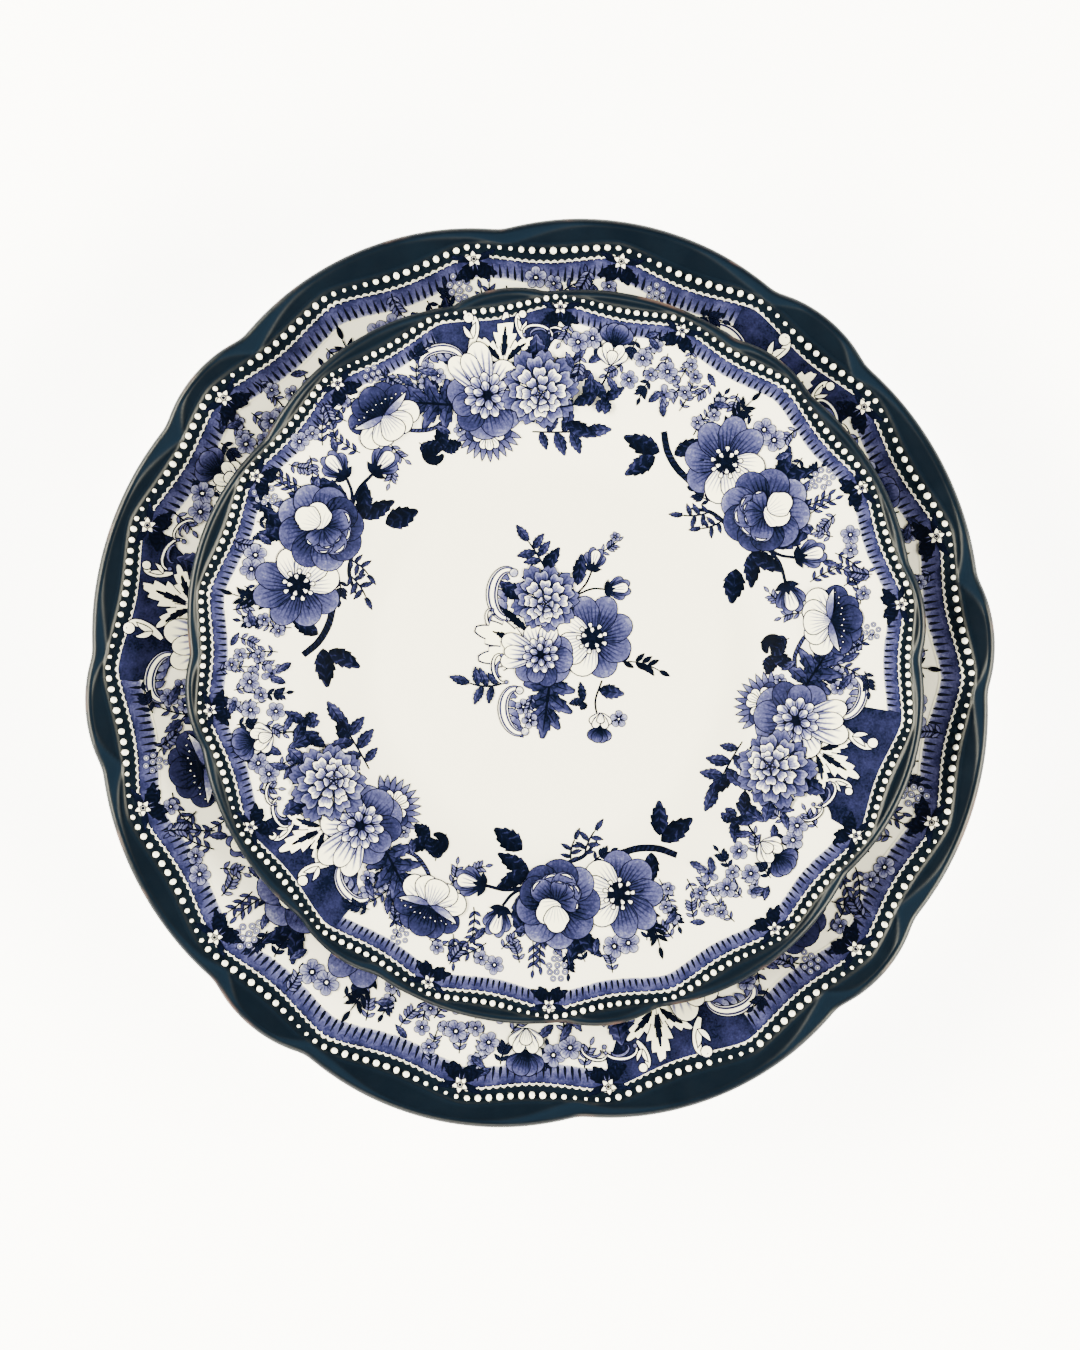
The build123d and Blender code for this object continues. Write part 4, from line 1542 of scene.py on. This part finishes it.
class CHINA_OT_plates(bpy.types.Operator):
    """Make both plates: fired body, glazes, rolled rim and foot ring"""
    bl_idname = "china.plates"
    bl_label = "Plates"

    def execute(self, context):
        materials = [finish_named(context, name) for name in ("porcelain_glaze", "rim_glaze", "bare_foot")]
        for plate in plates(context):
            piece = plate_mesh(plate, materials)
            points = np.empty(len(piece.data.vertices) * 3, np.float32)
            piece.data.vertices.foreach_get("co", points)
            points = points.reshape(-1, 3) / MM - plate.middle
            radius, angle = np.hypot(points[:, 0], points[:, 1]), np.arctan2(points[:, 1], points[:, 0])
            plain = np.interp(radius, plate.profile_r, plate.profile_z)
            # Mask of the painted highlight: how far the glaze stands above the plain profile, where the rim
            # glaze is painted lighter.
            raised_highlight = smooth(0.08, 0.45, points[:, 2] - plain)
            near_edge = smooth(plate.wall * 0.30, 0.25, plate.edge(angle) - radius)
            worn = near_edge * smooth(-2.6, -0.8, points[:, 2] - plain)
            for label, data in (("relief", raised_highlight), ("edge", worn)):
                stored = piece.data.attributes.new(label, "FLOAT", "POINT")
                stored.data.foreach_set("value", data.astype(np.float32))
            finish_piece(piece, plate.name, plate.name)
        return {"FINISHED"}


class CHINA_OT_pearls(bpy.types.Operator):
    """Make the rows of enamel pearls round both rims"""
    bl_idname = "china.pearls"
    bl_label = "Pearls"

    def execute(self, context):
        tree = pearl_tree()
        for seed, plate in enumerate(plates(context)):
            count = round(FULL_TURN * plate.pearl_ring / plate.pearl_pitch)
            angle = np.arange(count) * FULL_TURN / count
            from_smallest = angle - math.radians(plate.first_star) + math.radians(SMALLEST_BEFORE)
            hollow = smooth(0.15, 0.75, np.abs(np.sin(WAVES / 2 * from_smallest)))
            grown = SMALLEST_PEARL + (1 - SMALLEST_PEARL) * hollow
            wide = PEARL_WIDTH * plate.pearl_pitch * MM
            values = {
                "Width": wide, "Length": PEARL_LENGTH * wide, "Height": PEARL_HEIGHT * wide,
                "Seed": PEARL_SEED + seed, "Material": finish_named(context, "pearl_enamel")}
            name = plate.name + "_pearls"
            piece = repeated(
                name + "_enamel", plate, tree, angle, plate.pearls(angle), PEARL_LIFT, grown, values)
            finish_piece(piece, plate.name, name)
        return {"FINISHED"}


class CHINA_OT_teeth(bpy.types.Operator):
    """Make the rows of pointed teeth on the plain stretches of both ribbons"""
    bl_idname = "china.teeth"
    bl_label = "Ribbon teeth"

    def execute(self, context):
        tree = tooth_tree()
        for seed, plate in enumerate(plates(context)):
            angle = np.arange(RIBBON_TEETH) * FULL_TURN / RIBBON_TEETH
            after_star = np.mod(np.degrees(angle) - plate.first_star, THIRD)
            angle = angle[after_star > CARTOUCHE - 0.1]
            radius = plate.line(angle) - TOOTH_PLACE * plate.ribbon
            values = {
                "Width": TOOTH_WIDTH * plate.rim * MM, "Length": TOOTH_LENGTH * plate.ribbon * MM,
                "Height": MM, "Seed": TOOTH_SEED + seed, "Material": finish_named(context, "tooth_ink")}
            piece = repeated(
                plate.name + "_teeth", plate, tree, angle, radius, Sheet.GAP + TOOTH_LEVEL * Sheet.STEP,
                np.ones_like(angle), values)
            finish_piece(piece, plate.name)
        return {"FINISHED"}


class CHINA_OT_print(bpy.types.Operator):
    """Draw the ribbon, the three thirds of the border and the bouquet on both plates"""
    bl_idname = "china.print"
    bl_label = "Print"

    def execute(self, context):
        ink = finish_named(context, "blue_print")
        for plate in plates(context):
            sheet = Sheet(plate)
            ribbon(sheet)
            finish_piece(sheet.build(plate.name + "_ribbon", ink), plate.name)
            depth = sheet.depth
            depth[depth > 0] = RIBBON_LEVEL
            for third in range(3):
                sheet = Sheet(plate)
                sheet.depth = depth
                border(sheet, plate.first_star + THIRD * third)
                name = f"{plate.name}_border_{third + 1}"
                finish_piece(sheet.build(name, ink), plate.name)
            sheet = Sheet(plate)
            bouquet(sheet)
            finish_piece(sheet.build(plate.name + "_bouquet", ink), plate.name)
        return {"FINISHED"}


class CHINA_OT_stage(bpy.types.Operator):
    """Set the pale floor, the soft lights and the camera"""
    bl_idname = "china.stage"
    bl_label = "Stage"

    def execute(self, context):
        self.make_floor(context)
        self.make_lights(context)
        self.make_camera(context)
        return {"FINISHED"}

    @staticmethod
    def make_floor(context):
        """A plain square of paper under the plates."""
        half = FLOOR_HALF
        corners = [(-half, -half, 0), (half, -half, 0), (half, half, 0), (-half, half, 0)]
        mesh = bpy.data.meshes.new("studio_floor")
        mesh.from_pydata(corners, [], [(0, 1, 2, 3)])
        mesh.materials.append(finish_named(context, "studio_floor"))
        floor = bpy.data.objects.new("studio_floor", mesh)
        context.scene.collection.objects.link(floor)

    @staticmethod
    def make_lights(context):
        """Four long lamps that look at the middle, and a dim even sky."""
        for name, place, size, power in LAMPS:
            data = bpy.data.lights.new(name, "AREA")
            data.shape = "RECTANGLE"
            data.size, data.size_y = size
            data.energy = power
            data.color = LAMP_COLOUR
            lamp = bpy.data.objects.new(name, data)
            context.scene.collection.objects.link(lamp)
            lamp.location = place
            lamp.rotation_euler = (-lamp.location).to_track_quat("-Z", "Y").to_euler()
        world = bpy.data.worlds.new("studio")
        world.use_nodes = True
        background = world.node_tree.nodes["Background"].inputs
        background["Color"].default_value = SKY_COLOUR
        background["Strength"].default_value = SKY_STRENGTH
        context.scene.world = world

    @staticmethod
    def make_camera(context):
        """A camera that looks straight down."""
        studio = context.scene.china_studio
        data = bpy.data.cameras.new("camera")
        camera = bpy.data.objects.new("camera", data)
        context.scene.collection.objects.link(camera)
        camera.location = (0.0, studio.aim_y, studio.camera_height)
        above_rim = studio.camera_height - context.scene.china_dinner.rim_height
        long_side = studio.view_width * VIEW_TALL
        data.sensor_width = SENSOR
        data.lens = data.sensor_width * above_rim / long_side
        data.clip_start = 0.01
        context.scene.camera = camera


class CHINA_PT_panel(bpy.types.Panel):
    """The plates' sizes, colours and pieces"""
    bl_label = "China plates"
    bl_space_type = "VIEW_3D"
    bl_region_type = "UI"
    bl_category = "China"

    def draw(self, context):
        scene = context.scene
        for operator in OPERATORS:
            self.layout.operator(operator.bl_idname)
        for group in (scene.china_dinner, scene.china_dessert, scene.china_colours, scene.china_studio):
            box = self.layout.box()
            for field in group.bl_rna.properties:
                if not field.is_readonly and field.identifier != "name":
                    box.prop(group, field.identifier)


GROUPS = (
    ("china_dinner", DinnerSizes), ("china_dessert", DessertSizes), ("china_colours", ChinaColours),
    ("china_studio", StudioSizes),
)
OPERATORS = (CHINA_OT_plates, CHINA_OT_pearls, CHINA_OT_teeth, CHINA_OT_print, CHINA_OT_stage)


def register():
    """Registers the classes and hangs the sizes and colours on the scene."""
    for _name, group in GROUPS:
        bpy.utils.register_class(group)
    for operator in OPERATORS:
        bpy.utils.register_class(operator)
    bpy.utils.register_class(CHINA_PT_panel)
    for name, group in GROUPS:
        setattr(bpy.types.Scene, name, bpy.props.PointerProperty(type=group))


def unregister():
    """Undoes register."""
    for name, _group in GROUPS:
        delattr(bpy.types.Scene, name)
    for kind in (CHINA_PT_panel, *reversed(OPERATORS), *(group for _name, group in reversed(GROUPS))):
        bpy.utils.unregister_class(kind)


def main():
    """Makes every piece and the stage."""
    register()
    bpy.ops.china.plates()
    bpy.ops.china.pearls()
    bpy.ops.china.teeth()
    bpy.ops.china.print()
    bpy.ops.china.stage()


if __name__ == "__main__":
    main()
